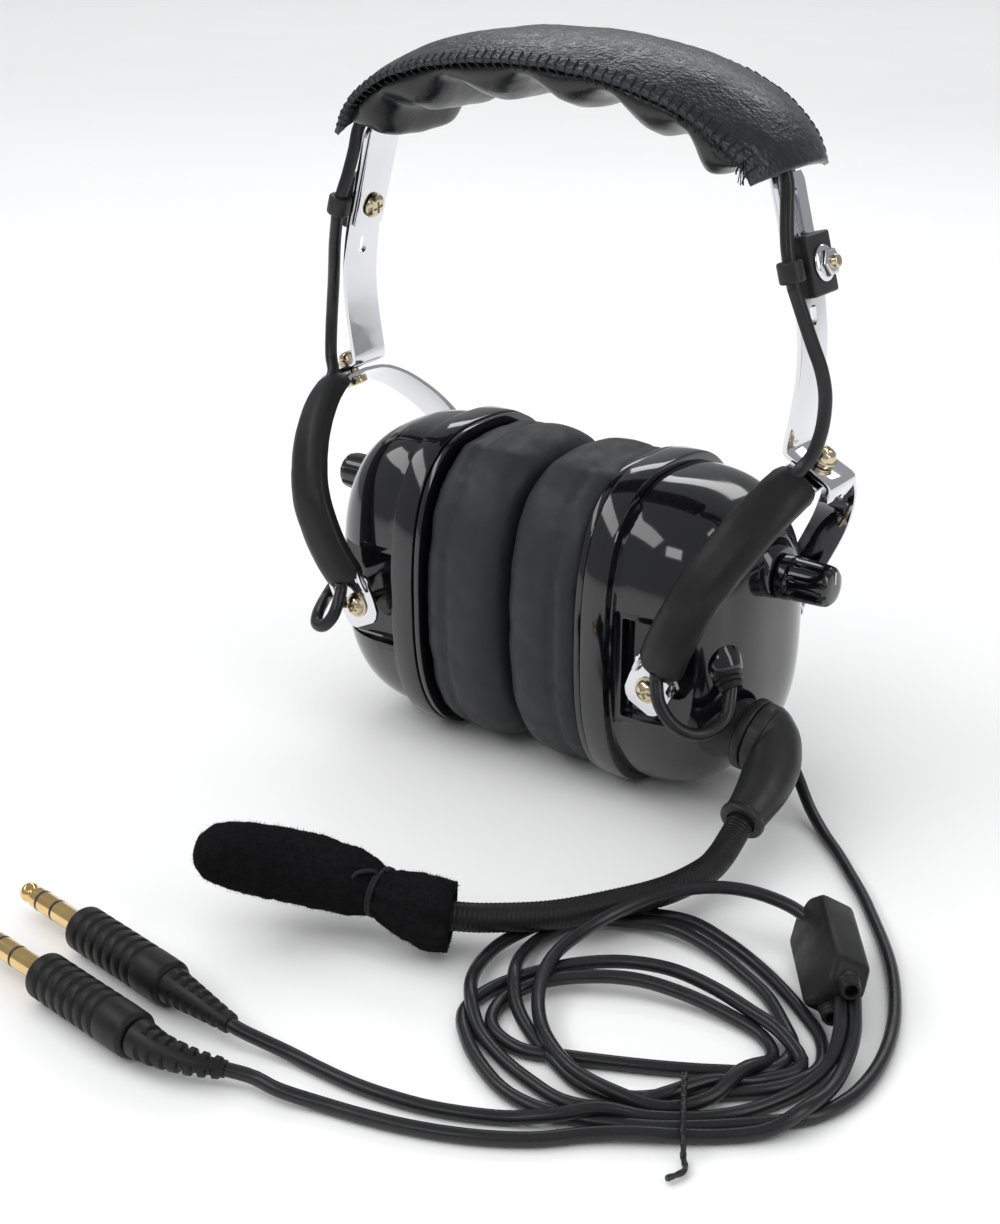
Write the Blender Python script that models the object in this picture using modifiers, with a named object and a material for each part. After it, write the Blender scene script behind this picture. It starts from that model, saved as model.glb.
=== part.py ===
"""Aviation headset with twin plugs: one object per physical piece, in metres, +Z up, standing on Z = 0."""

import math

import bmesh
import bpy
from mathutils import Matrix, Vector

MM = 0.001

# Where the headset's own middle stands, so that its box is centred over the world origin.
HEADSET_AT = (-1.564, 65.839, 0.0)

# Ear cups. X runs outward from the plane where the two seals meet.
CUP_MIDDLE_Z = 54.27
FLANGE_HALF_Y = 40.5
FLANGE_HALF_Z = 54.35
FLANGE_POWER = 2.7
MOUTH_X = 33.7
FLANGE_X = 42.8
DOME_HALF_Y = 37.0
DOME_HALF_Z = 51.6
DOME_DEPTH = 37.5
DOME_POWER = 2.8
CAVITY_HALF_Y = 28.4
CAVITY_HALF_Z = 48.8
CAVITY_DEPTH = 34.4
OUTLINE_POINTS = 24

# Ear seals.
SEAL_HALF_Y = 39.4
SEAL_HALF_Z = 53.2
SEAL_GAP = 0.15

# Yoke: a planar hoop between the tilt axis and the swivel axis.
PIVOT_X = 58.5
PIVOT_Z = 47.0
SWIVEL_LEAN = math.atan2(34.0, 70.0)
YOKE_THICK = 1.4
YOKE_WIDTH = 12.5
FOOT_RISE = 76.5

# Hanger strap and headband spring.
HANGER_WIDTH = 16.0
HANGER_THICK = 1.6
SPRING_WIDTH = 14.0
SPRING_THICK = 1.2
CLAMP_AT = (83.1, 0.0, 174.5)
STRAP_SLOPE = math.atan2(7.1, 25.5)
SLOT_TRAVEL = 20.0

# Volume knob.
KNOB_Y = 3.4
KNOB_Z = 76.4
KNOB_X = 80.2

# Boom microphone.
BOOM_AT = (82.0, -15.4, 29.9)
BOOM_LEAN = math.radians(10.0)
GOOSENECK_RADIUS = 4.3

# Cords.
CORD_RADIUS = 1.9
LOOM_RADIUS = 2.1
COIL_TOP = 9.6


def mm(x, y, z):
    return Vector((x, y, z)) * MM


def clear_scene():
    for old in list(bpy.data.objects):
        bpy.data.objects.remove(old, do_unlink=True)


clear_scene()
PARTS = bpy.data.collections.new("aviation_headset")
CUTTERS = bpy.data.collections.new("cutters")
CUTTERS.hide_render = True
bpy.context.scene.collection.children.link(PARTS)
bpy.context.scene.collection.children.link(CUTTERS)


# ---------------------------------------------------------------- helpers


def empty(name, parent=None, where=(0, 0, 0), turn=(0, 0, 0), mirrored=False):
    obj = bpy.data.objects.new(name, None)
    obj.empty_display_size = 0.01
    obj.parent = parent
    obj.location = mm(*where)
    obj.rotation_euler = turn
    if mirrored:
        obj.scale = (-1, 1, 1)
    PARTS.objects.link(obj)
    return obj


def settle(obj, parent, where=(0, 0, 0), turn=(0, 0, 0), cutter=False):
    (CUTTERS if cutter else PARTS).objects.link(obj)
    obj.parent = parent
    obj.location = mm(*where)
    obj.rotation_euler = turn
    if cutter:
        obj.hide_render = True
        obj.display_type = "WIRE"
    return obj


def mesh_from(name, bm, parent, where=(0, 0, 0), turn=(0, 0, 0), cutter=False):
    bmesh.ops.recalc_face_normals(bm, faces=bm.faces)
    data = bpy.data.meshes.new(name)
    bm.to_mesh(data)
    bm.free()
    return settle(bpy.data.objects.new(name, data), parent, where, turn, cutter)


def skin(name, rings, parent, looped=False, **place):
    """One closed body through rings of equal length, capped at both ends or looped back on itself."""
    bm = bmesh.new()
    rows = [[bm.verts.new(mm(*point)) for point in ring] for ring in rings]
    count = len(rings[0])
    spans = len(rows) if looped else len(rows) - 1
    for i in range(spans):
        here = rows[i]
        after = rows[(i + 1) % len(rows)]
        for k in range(count):
            n = (k + 1) % count
            bm.faces.new((here[k], here[n], after[n], after[k]))
    if not looped:
        for row in (rows[0], rows[-1]):
            middle = bm.verts.new(sum((vert.co for vert in row), Vector()) / count)
            for k in range(count):
                bm.faces.new((row[k], row[(k + 1) % count], middle))
    return mesh_from(name, bm, parent, **place)


def turned(name, profile, parent, steps=24, **place):
    """A turned body about local Z, from pairs of radius and height. The outside runs from top to bottom."""
    bm = bmesh.new()
    verts = [bm.verts.new(mm(radius, 0, height)) for radius, height in profile]
    for a, b in zip(verts, verts[1:]):
        bm.edges.new((a, b))
    if profile[0][0] > 0:
        bm.edges.new((verts[-1], verts[0]))
    data = bpy.data.meshes.new(name)
    bm.to_mesh(data)
    bm.free()
    obj = settle(bpy.data.objects.new(name, data), parent, **place)
    spin = obj.modifiers.new("Turn", "SCREW")
    spin.steps = steps
    spin.render_steps = steps
    spin.use_smooth_shade = False
    spin.use_merge_vertices = True
    spin.merge_threshold = 0.00001
    return obj


def block(name, size, parent, bevel=0.0, segments=2, **place):
    bm = bmesh.new()
    bmesh.ops.create_cube(bm, size=1.0)
    for vert in bm.verts:
        vert.co = Vector((vert.co.x * size[0], vert.co.y * size[1], vert.co.z * size[2])) * MM
    obj = mesh_from(name, bm, parent, **place)
    if bevel:
        soften = obj.modifiers.new("Soften", "BEVEL")
        soften.width = bevel * MM
        soften.segments = segments
    return obj


def smooth_route(points, gap, closed=False):
    """Evenly spaced points along a smooth curve through the route points."""
    knots = [Vector(p) for p in points]
    if closed:
        knots = [knots[-1]] + knots + knots[:2]
    else:
        knots = [knots[0] * 2 - knots[1]] + knots + [knots[-1] * 2 - knots[-2]]
    fine = []
    for a, b, c, d in zip(knots, knots[1:], knots[2:], knots[3:]):
        for k in range(16):
            t = k / 16
            fine.append(
                0.5
                * (
                    2 * b
                    + (c - a) * t
                    + (2 * a - 5 * b + 4 * c - d) * t * t
                    + (3 * b - a - 3 * c + d) * t**3
                )
            )
    if not closed:
        fine.append(knots[-2])
    travelled = [0.0]
    loop = fine + [fine[0]] if closed else fine
    for a, b in zip(loop, loop[1:]):
        travelled.append(travelled[-1] + (b - a).length)
    steps = max(2, round(travelled[-1] / gap))
    out = []
    k = 0
    for i in range(steps if closed else steps + 1):
        want = travelled[-1] * i / steps
        while k < len(loop) - 2 and travelled[k + 1] < want:
            k += 1
        span = travelled[k + 1] - travelled[k]
        out.append(loop[k].lerp(loop[k + 1], (want - travelled[k]) / span if span else 0.0))
    return out


def tube(name, points, radius, parent, sides=2, gap=8.0, **place):
    """A round cord along a smooth curve through the route points."""
    route = smooth_route(points, gap)
    data = bpy.data.curves.new(name, "CURVE")
    data.dimensions = "3D"
    data.bevel_depth = radius * MM
    data.bevel_resolution = sides
    data.use_fill_caps = True
    spline = data.splines.new("POLY")
    spline.points.add(len(route) - 1)
    for point, where in zip(spline.points, route):
        point.co = (*(where * MM), 1.0)
    return settle(bpy.data.objects.new(name, data), parent, **place)


def strip_rings(route, across, widths, thick, lift=0.0):
    """Rectangles along a route: width along `across`, thickness square to it."""
    across = Vector(across)
    rings = []
    for i, point in enumerate(route):
        point = Vector(point)
        before = Vector(route[max(i - 1, 0)])
        after = Vector(route[min(i + 1, len(route) - 1)])
        out = (after - before).normalized().cross(across).normalized()
        half = across * widths[i] / 2
        mid = point + out * lift
        rings.append(
            [
                mid - half - out * thick / 2,
                mid + half - out * thick / 2,
                mid + half + out * thick / 2,
                mid - half + out * thick / 2,
            ]
        )
    return rings


def outline(x, half_y, half_z, middle_z=CUP_MIDDLE_Z, power=FLANGE_POWER, points=OUTLINE_POINTS):
    ring = []
    for k in range(points):
        angle = 2 * math.pi * (k + 0.5) / points
        c = math.cos(angle)
        s = math.sin(angle)
        reach = (abs(c) ** power + abs(s) ** power) ** (-1 / power)
        ring.append((x, half_y * c * reach, middle_z + half_z * s * reach))
    return ring


def slab(name, top, bottom, parent, **place):
    """A closed body between two grids of points."""
    bm = bmesh.new()
    rows = len(top)
    cols = len(top[0])
    upper = [[bm.verts.new(mm(*p)) for p in row] for row in top]
    lower = [[bm.verts.new(mm(*p)) for p in row] for row in bottom]
    for i in range(rows - 1):
        for k in range(cols - 1):
            bm.faces.new((upper[i][k], upper[i + 1][k], upper[i + 1][k + 1], upper[i][k + 1]))
            bm.faces.new((lower[i][k], lower[i][k + 1], lower[i + 1][k + 1], lower[i + 1][k]))
    for i in range(rows - 1):
        for k in (0, cols - 1):
            bm.faces.new((upper[i][k], upper[i + 1][k], lower[i + 1][k], lower[i][k]))
    for k in range(cols - 1):
        for i in (0, rows - 1):
            bm.faces.new((upper[i][k], upper[i][k + 1], lower[i][k + 1], lower[i][k]))
    return mesh_from(name, bm, parent, **place)


def boolean(obj, other, operation="DIFFERENCE"):
    step = obj.modifiers.new(f"{operation.title()} {other.name}", "BOOLEAN")
    step.operation = operation
    step.solver = "EXACT"
    step.object = other
    return obj


def drill(obj, radius, low, high, parent, steps=20, **place):
    """Cuts a round hole along local Z of the given place, from low to high."""
    profile = [(0, high), (radius, high), (radius, low), (0, low)]
    name = f"{obj.name}_bore_{len(obj.modifiers)}"
    return boolean(obj, turned(name, profile, parent, steps, cutter=True, **place))


def pocket(obj, size, parent, bevel=0.0, **place):
    name = f"{obj.name}_cut_{len(obj.modifiers)}"
    return boolean(obj, block(name, size, parent, bevel, cutter=True, **place))


def finish(obj, colour, metallic, rough):
    """Gives the object a material of its own."""
    paint = bpy.data.materials.new(obj.name)
    paint.use_nodes = True
    shader = paint.node_tree.nodes["Principled BSDF"]
    shader.inputs["Base Color"].default_value = (*colour, 1)
    shader.inputs["Metallic"].default_value = metallic
    shader.inputs["Roughness"].default_value = rough
    paint.diffuse_color = (*colour, 1)
    obj.data.materials.append(paint)
    return obj


def gloss_black(obj):
    return finish(obj, (0.008, 0.008, 0.01), 0, 0.08)


def matte_black(obj):
    return finish(obj, (0.02, 0.02, 0.02), 0, 0.55)


def rubber(obj):
    return finish(obj, (0.015, 0.015, 0.016), 0, 0.45)


def chrome(obj):
    return finish(obj, (0.8, 0.8, 0.82), 1, 0.08)


def nickel(obj):
    return finish(obj, (0.75, 0.68, 0.52), 1, 0.25)


def brass(obj):
    return finish(obj, (0.83, 0.62, 0.3), 1, 0.2)


def leather(obj):
    return finish(obj, (0.02, 0.022, 0.024), 0, 0.4)


def cloth(obj):
    return finish(obj, (0.01, 0.01, 0.01), 0, 0.95)


# ---------------------------------------------------------------- ear cups

OUTWARD = (0, math.radians(90), 0)
FORWARD = (math.radians(90), 0, 0)
BACKWARD = (math.radians(-90), 0, 0)
GROMMET_AT = Vector((75.5, -22.6, 52.6))
GROMMET_AXIS = Vector((0.62, -0.30, -0.72)).normalized()
GROMMET_TURN = tuple(GROMMET_AXIS.to_track_quat("Z", "Y").to_euler())


def dome_rings(half_y, half_z, depth, steps):
    rings = []
    for k in range(steps + 1):
        turn = math.radians(89.0) * k / steps
        along = math.sin(turn) ** (2 / DOME_POWER)
        shrink = math.cos(turn) ** (2 / DOME_POWER)
        rings.append(outline(FLANGE_X + 0.4 + depth * along, half_y * shrink, half_z * shrink))
    return rings


def cup_shell(side, frame):
    """A hollow moulding: flange band, ledge and dome, with recesses for the yoke pivots."""
    outside = [
        outline(MOUTH_X, FLANGE_HALF_Y - 0.9, FLANGE_HALF_Z - 0.9),
        outline(MOUTH_X + 0.9, FLANGE_HALF_Y, FLANGE_HALF_Z),
        outline(FLANGE_X - 1.1, FLANGE_HALF_Y, FLANGE_HALF_Z),
        outline(FLANGE_X, FLANGE_HALF_Y - 1.1, FLANGE_HALF_Z - 1.1),
    ]
    outside += dome_rings(DOME_HALF_Y, DOME_HALF_Z, DOME_DEPTH, 6)
    inside = [
        outline(MOUTH_X, FLANGE_HALF_Y - 3.2, FLANGE_HALF_Z - 3.2),
        outline(FLANGE_X - 2.4, FLANGE_HALF_Y - 3.2, FLANGE_HALF_Z - 3.2),
    ]
    inside += dome_rings(CAVITY_HALF_Y, CAVITY_HALF_Z, CAVITY_DEPTH, 3)
    shell = skin(f"{side}_cup_shell", inside[::-1] + outside, frame)
    boss = turned(
        f"{side}_knob_boss",
        [(0, 79.9), (9.0, 79.9), (12.0, 76.6), (12.0, 75.6), (0, 75.6)],
        frame,
        16,
        where=(0, KNOB_Y, KNOB_Z),
        turn=OUTWARD,
        cutter=True,
    )
    boolean(shell, boss, "UNION")
    for y, turn in ((-1, FORWARD), (1, BACKWARD)):
        pocket(shell, (32, 12, 34), frame, 0, where=(61.5, y * 37.0, 50.0))
        drill(shell, 2.3, 0, 60, frame, 12, where=(PIVOT_X, 0, PIVOT_Z), turn=turn)
    drill(shell, 5.4, -9, 14, frame, 14, where=GROMMET_AT, turn=GROMMET_TURN)
    drill(shell, 3.8, 60, 100, frame, 14, where=(0, KNOB_Y, KNOB_Z), turn=OUTWARD)
    return gloss_black(shell)


def seal_plate(side, frame):
    """The flat plate that closes the shell and carries the driver and the seal."""
    half_y = FLANGE_HALF_Y - 0.6
    half_z = FLANGE_HALF_Z - 0.6
    hole = 18.0
    rings = [
        outline(31.2, half_y - 0.6, half_z - 0.6),
        outline(31.8, half_y, half_z),
        outline(33.4, half_y, half_z),
        outline(33.4, hole, hole, power=2),
        outline(31.2, hole, hole, power=2),
    ]
    return gloss_black(skin(f"{side}_seal_plate", rings, frame, looped=True))


def ear_seal(side, frame):
    """Soft ring with a seam groove, from pairs of a place along X and the distance in from the outline."""
    section = [
        (30.9, 1.0),
        (26.0, 0.0),
        (20.8, 2.6),
        (18.0, 0.0),
        (7.0, 0.3),
        (2.6, 3.2),
        (SEAL_GAP, 8.5),
        (SEAL_GAP, 13.5),
        (3.0, 18.5),
        (12.0, 20.5),
        (30.9, 20.0),
    ]
    rings = [outline(x, SEAL_HALF_Y - inset, SEAL_HALF_Z - inset) for x, inset in section]
    return leather(skin(f"{side}_ear_seal", rings, frame, looped=True))


PIVOT_SCREW = [
    (0, 42.2),
    (1.6, 42.1),
    (2.9, 41.4),
    (3.5, 40.2),
    (4.0, 40.1),
    (4.0, 39.6),
    (2.0, 39.6),
    (2.0, 30.0),
    (0, 30.0),
]


def cup_pieces(side, frame):
    pieces = [cup_shell(side, frame), seal_plate(side, frame), ear_seal(side, frame)]
    driver = turned(
        f"{side}_driver",
        [(0, 44.0), (12.0, 44.0), (19.0, 38.5), (19.5, 35.4), (22.5, 35.2), (22.5, 33.7), (0, 33.7)],
        frame,
        18,
        where=(0, 0, CUP_MIDDLE_Z),
        turn=OUTWARD,
    )
    pot = turned(
        f"{side}_volume_pot",
        [(3.2, 79.6), (3.5, 79.6), (3.5, 72.8), (8.0, 72.6), (8.0, 63.0), (3.2, 63.0)],
        frame,
        14,
        where=(0, KNOB_Y, KNOB_Z),
        turn=OUTWARD,
    )
    grommet = turned(
        f"{side}_cable_grommet",
        [(2.5, 7.0), (3.7, 6.7), (4.5, 5.2), (3.9, 4.4), (4.8, 3.4), (5.1, 1.6), (5.1, -3.0), (2.5, -3.0)],
        frame,
        14,
        where=GROMMET_AT,
        turn=GROMMET_TURN,
    )
    matte_black(driver)
    chrome(pot)
    rubber(grommet)
    for end, turn in (("front", FORWARD), ("back", BACKWARD)):
        screw = turned(
            f"{side}_pivot_screw_{end}",
            PIVOT_SCREW,
            frame,
            12,
            where=(PIVOT_X, 0, PIVOT_Z),
            turn=turn,
        )
        flip = -1 if end == "front" else 1
        for size in ((0.9, 2.4, 4.2), (4.2, 2.4, 0.9)):
            pocket(screw, size, frame, where=(PIVOT_X, flip * 42.3, PIVOT_Z), turn=(0, math.radians(20), 0))
        nickel(screw)
        pieces.append(screw)
    return pieces


def volume_knob(side, frame):
    knob = turned(
        f"{side}_volume_knob",
        [
            (0, 18.0),
            (4.4, 17.8),
            (5.9, 16.8),
            (6.5, 15.0),
            (6.8, 5.0),
            (7.3, 4.2),
            (7.3, 0.7),
            (6.9, 0.0),
            (2.9, 0.0),
            (2.9, -14.0),
            (0, -14.0),
        ],
        frame,
        18,
        where=(KNOB_X, KNOB_Y, KNOB_Z),
        turn=OUTWARD,
    )
    for k in range(6):
        angle = math.radians(60 * k + 30)
        across = 7.6
        cutter = turned(
            f"{knob.name}_flute_{k}",
            [(0, 19.0), (1.5, 19.0), (1.5, 6.0), (0, 5.0)],
            frame,
            6,
            where=(KNOB_X, KNOB_Y + across * math.cos(angle), KNOB_Z + across * math.sin(angle)),
            turn=OUTWARD,
            cutter=True,
        )
        boolean(knob, cutter)
    return gloss_black(knob)


# ---------------------------------------------------------------- yokes

# One half of the hoop: distance to the side and distance up from the tilt axis.
YOKE_HALF = [
    (38.6, -7.5),
    (38.6, 0.0),
    (38.8, 7.0),
    (40.0, 12.0),
    (41.6, 18.0),
    (42.4, 24.0),
    (42.4, 30.0),
    (41.8, 37.0),
    (39.8, 43.5),
    (36.4, 50.0),
    (32.0, 56.5),
    (26.0, 63.0),
    (18.5, 69.0),
    (9.5, 73.2),
    (0.0, 74.2),
]
# Width of the pivot plate against distance up from the tilt axis.
PIVOT_PLATE = [(-7.5, 9.0), (-5.0, 14.0), (0.0, 15.5), (5.5, 15.5), (6.5, 17.0), (9.5, 12.5)]


def yoke_width(rise):
    if rise >= PIVOT_PLATE[-1][0]:
        return YOKE_WIDTH
    for (low, wide), (high, next_wide) in zip(PIVOT_PLATE, PIVOT_PLATE[1:]):
        if rise <= high:
            return wide + (next_wide - wide) * (rise - low) / (high - low)
    return YOKE_WIDTH


def half_hoop(gap):
    return smooth_route([(0, -y, z) for y, z in YOKE_HALF], gap)


def yoke(side, frame):
    front = half_hoop(5.5)
    plate = [Vector((0, -38.6, z)) for z, _ in PIVOT_PLATE if z < 7.0]
    front = plate + [point for point in front if point.z > 9.0 or point.y > -30]
    back = [Vector((0, -point.y, point.z)) for point in front[-2::-1]]
    route = front + back
    widths = [yoke_width(point.z) for point in route]
    hoop = skin(f"{side}_yoke", strip_rings(route, (1, 0, 0), widths, YOKE_THICK), frame)
    for turn in (FORWARD, BACKWARD):
        drill(hoop, 2.3, 30, 50, frame, 12, turn=turn)
    drill(hoop, 2.4, 60, 80, frame, 12)
    return chrome(hoop)


def yoke_sleeve(side, frame):
    """A soft flat sleeve over the front arm. It wraps the strap and the cable beside it."""
    route = [point for point in half_hoop(8.4) if point.y < -10.3 or point.z < 40]
    route = [point for point in route if point.z > 9.5]
    outer = []
    inner = []
    for i, point in enumerate(route):
        before = route[max(i - 1, 0)]
        after = route[min(i + 1, len(route) - 1)]
        out = (after - before).normalized().cross(Vector((1, 0, 0))).normalized()
        if out.y > 0 and point.z < 60:
            out = -out
        if out.z < 0 and point.z >= 60:
            out = -out
        shape = [
            (-6.9, -1.6),
            (0.0, -1.7),
            (6.9, -1.6),
            (7.5, -0.4),
            (7.3, 1.8),
            (5.6, 3.4),
            (3.0, 4.4),
            (-3.0, 4.4),
            (-5.6, 3.4),
            (-7.3, 1.8),
            (-7.5, -0.4),
        ]
        hole = [
            (-6.5, -1.0),
            (0.0, -1.0),
            (6.5, -1.0),
            (6.55, 0.0),
            (6.55, 0.5),
            (6.5, 1.0),
            (3.0, 1.0),
            (-3.0, 1.0),
            (-6.5, 1.0),
            (-6.55, 0.5),
            (-6.55, 0.0),
        ]
        outer.append([point + Vector((x, 0, 0)) + out * h for x, h in shape])
        inner.append([point + Vector((x, 0, 0)) + out * h for x, h in hole])
    return rubber(skin(f"{side}_yoke_sleeve", outer + inner[::-1], frame, looped=True))


def swivel_screw(side, frame):
    """Screw through the hanger's foot and the crown of the yoke, with its washers and swaged end."""
    profile = [
        (0, 82.4),
        (1.7, 82.3),
        (3.0, 81.6),
        (3.5, 80.4),
        (3.5, 79.6),
        (4.4, 79.5),
        (4.4, 78.6),
        (3.9, 78.5),
        (3.9, 77.7),
        (2.0, 77.7),
        (2.0, 72.9),
        (3.6, 72.9),
        (3.6, 70.6),
        (0, 70.4),
    ]
    screw = turned(f"{side}_swivel_screw", profile, frame, 12)
    for size in ((0.9, 4.4, 2.4), (4.4, 0.9, 2.4)):
        pocket(screw, size, frame, where=(0, 0, 82.6), turn=(0, 0, math.radians(25)))
    return nickel(screw)


# ---------------------------------------------------------------- hangers and headband


def along_strap(distance, off=0.0):
    """A point on the straight run of the strap: distance down from the clamp, off to the outside."""
    down = Vector((math.sin(STRAP_SLOPE), 0, -math.cos(STRAP_SLOPE)))
    out = Vector((math.cos(STRAP_SLOPE), 0, math.sin(STRAP_SLOPE)))
    return Vector(CLAMP_AT) + down * distance + out * off


def foot_point(s, rise=FOOT_RISE):
    """A point in the plane of the swivel axis: s outward from the axis, rise up from the tilt axis."""
    up = Vector((math.sin(SWIVEL_LEAN), 0, math.cos(SWIVEL_LEAN)))
    out = Vector((math.cos(SWIVEL_LEAN), 0, -math.sin(SWIVEL_LEAN)))
    return Vector((PIVOT_X, 0, PIVOT_Z)) + up * rise + out * s


def hanger(side, frame):
    straight = [along_strap(d) for d in (-SLOT_TRAVEL - 7.0, -12.0, 0.0, 7.0)]
    bend = [(86.6, 0, 158.0), (87.3, 0, 150.0), (87.1, 0, 142.0), (86.2, 0, 134.0), (85.1, 0, 127.0)]
    leg = smooth_route(straight + bend + [(84.3, 0, 122.4)], 5.0)
    corner = [(84.15, 0, 121.0), (84.5, 0, 119.9), (85.4, 0, 119.1)]
    foot = [foot_point(s) for s in (-6.0, 0.0, 7.2)]
    fold = [foot_point(8.4, 76.1), foot_point(9.1, 75.1), foot_point(9.2, 70.6)]
    route = leg + [Vector(p) for p in corner] + foot + fold
    widths = [HANGER_WIDTH] * (len(route) - 2) + [15.0, 12.0]
    strap = skin(f"{side}_hanger", strip_rings(route, (0, 1, 0), widths, HANGER_THICK), frame)
    lean = (0, -STRAP_SLOPE, 0)
    slot = block(
        f"{side}_hanger_slot",
        (8, 4.8, SLOT_TRAVEL + 5.4),
        frame,
        where=along_strap(-SLOT_TRAVEL / 2),
        turn=lean,
        cutter=True,
    )
    boolean(strap, slot)
    pocket(strap, (8, 3.2, 5.6), frame, 1.2, where=(87.0, 0, 160.5))
    drill(strap, 2.4, 60, 90, frame, 16, where=(PIVOT_X, 0, PIVOT_Z), turn=(0, SWIVEL_LEAN, 0))
    return chrome(strap)


SPRING_ARCH = [
    (71.9, 0, 205.9),
    (67.0, 0, 211.5),
    (59.5, 0, 216.5),
    (49.6, 0, 220.6),
    (35.8, 0, 224.9),
    (18.0, 0, 227.5),
]


def spring_route():
    side = [along_strap(d, -1.75) for d in (7.0, -6.0, -18.0, -26.0)]
    half = side + [Vector(p) for p in SPRING_ARCH]
    other = [Vector((-p.x, p.y, p.z)) for p in half[::-1]]
    return smooth_route(half + [(0, 0, 228.4)] + other, 9.0)


def headband_spring(frame):
    route = spring_route()
    rings = strip_rings(route, (0, 1, 0), [SPRING_WIDTH] * len(route), SPRING_THICK)
    strip = skin("headband_spring", rings, frame)
    for flip in (1, -1):
        where = (flip * CLAMP_AT[0], 0, CLAMP_AT[2])
        drill(strip, 2.3, -8, 8, frame, 16, where=where, turn=(0, flip * (math.pi / 2 - STRAP_SLOPE), 0))
    return chrome(strip)


PAD_HALF = [
    (0, 237.1),
    (25.5, 235.4),
    (45.0, 231.4),
    (60.0, 225.8),
    (71.0, 219.0),
    (78.6, 211.8),
    (83.5, 204.5),
]
PAD_COVER = 1.8
PAD_ROWS = 24
PAD_COLS = 8


def pad_stations(rows, reach):
    """(place, inward direction, share of the way from the middle to an end) along the top of the pad."""
    half = [(x, 0, z) for x, z in PAD_HALF]
    points = smooth_route([(-x, 0, z) for x, _, z in half[:0:-1]] + half, 2.0)
    out = []
    for i in range(rows + 1):
        share = -reach + 2 * reach * i / rows
        place = (share + 1) / 2 * (len(points) - 1)
        k = min(int(place), len(points) - 2)
        here = points[k].lerp(points[k + 1], place - k)
        ahead = (points[k + 1] - points[k]).normalized()
        inward = Vector((ahead.z, 0, -ahead.x))
        out.append((here, inward, share))
    return out


def pad_grid(depth, reach, trim=0.0):
    """Points across and along the pad, each as deep below its top line as `depth` says."""
    grid = []
    for here, inward, share in pad_stations(PAD_ROWS, reach):
        half = 30.0 - 8.0 * abs(share) ** 3 - trim
        row = []
        for k in range(PAD_COLS + 1):
            across = math.sin(math.pi / 2 * (2 * k / PAD_COLS - 1))
            y = half * across
            at = here + inward * (6.5 * across * across + depth(share, across, y))
            row.append((at.x, y, at.z))
        grid.append(row)
    return grid


def pillow_depth(share, across, y):
    """Six pillows along the pad, fuller towards its ends."""
    rise = abs(math.sin(3 * math.pi * (share + 1))) ** 0.6
    full = 22.0 + 8.0 * max(0.0, min(1.0, (abs(share) - 0.45) / 0.3))
    full -= 180.0 * max(0.0, abs(share) - 0.86)
    bulge = (1 - abs(across) ** 3.2) ** 0.55
    return 3.2 + (full - 3.2 - 6.0 * (1 - rise)) * bulge - 6.5 * across * across * 0.45


def cushion_top(share, across, y):
    channel = max(0.0, min(1.0, (14.0 - abs(y)) / 3.0))
    deep = 10.2 + 6.0 * max(0.0, (abs(share) - 0.7) / 0.2)
    return PAD_COVER + 0.35 + (deep - PAD_COVER - 0.35) * channel


def pad(frame):
    cover = slab(
        "pad_cover",
        pad_grid(lambda share, across, y: 0.0, 1.0),
        pad_grid(lambda share, across, y: PAD_COVER, 1.0),
        frame,
    )
    cushion = slab("pad_cushion", pad_grid(cushion_top, 0.9, 0.6), pad_grid(pillow_depth, 0.9, 0.6), frame)
    return leather(cover), cloth(cushion)


def clamp(side, frame):
    """Moulded block, screw and nut that hold the strap to the end of the spring, and the cable guide."""
    lean = (0, -STRAP_SLOPE, 0)
    body = block(f"{side}_clamp_block", (5.0, 13.6, 18.0), frame, 0.9, where=along_strap(0, 3.7), turn=lean)
    outward = (0, math.pi / 2 - STRAP_SLOPE, 0)
    drill(body, 2.3, -6, 6, frame, 16, where=along_strap(0, 3.7), turn=outward)
    screw = turned(
        f"{side}_clamp_screw",
        [(0, 11.6), (2.0, 11.0), (2.0, -2.7), (4.2, -2.7), (4.0, -3.8), (2.8, -4.8), (0, -5.2)],
        frame,
        16,
        where=CLAMP_AT,
        turn=outward,
    )
    nut = turned(
        f"{side}_clamp_nut",
        [(2.3, 9.8), (3.7, 9.8), (4.1, 9.3), (4.1, 7.5), (4.9, 7.4), (4.9, 6.5), (2.3, 6.5)],
        frame,
        6,
        where=CLAMP_AT,
        turn=outward,
    )
    guide = turned(
        f"{side}_cable_guide",
        [(2.45, 3.0), (3.3, 3.0), (3.8, 2.4), (3.8, -2.4), (3.3, -3.0), (2.45, -3.0)],
        frame,
        14,
        where=along_strap(0, 2.2) + Vector((0, -11.9, 0)),
        turn=lean,
    )
    return matte_black(body), nickel(screw), chrome(nut), matte_black(guide)


# ---------------------------------------------------------------- cables on the headset

GUIDE = along_strap(0, 2.2) + Vector((0, -11.9, 0))
LOOM_TOP = [
    (0, -6.0, 231.6),
    (18.0, -6.0, 230.7),
    (36.4, -6.0, 228.0),
    (50.8, -6.0, 223.5),
    (61.3, -6.0, 218.9),
    (69.6, -6.0, 213.6),
    (75.2, -6.2, 207.5),
    (79.7, -7.4, 200.5),
    (81.0, -8.6, 193.0),
    (82.6, -10.6, 184.5),
]


def headband_cable(frame):
    down = Vector((math.sin(STRAP_SLOPE), 0, -math.cos(STRAP_SLOPE)))
    half = [Vector(p) for p in LOOM_TOP] + [GUIDE - down * 3, GUIDE + down * 4.5]
    other = [Vector((-p.x, p.y, p.z)) for p in half[:0:-1]]
    return rubber(tube("headband_cable", other + half, LOOM_RADIUS, frame, gap=9.0))


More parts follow.
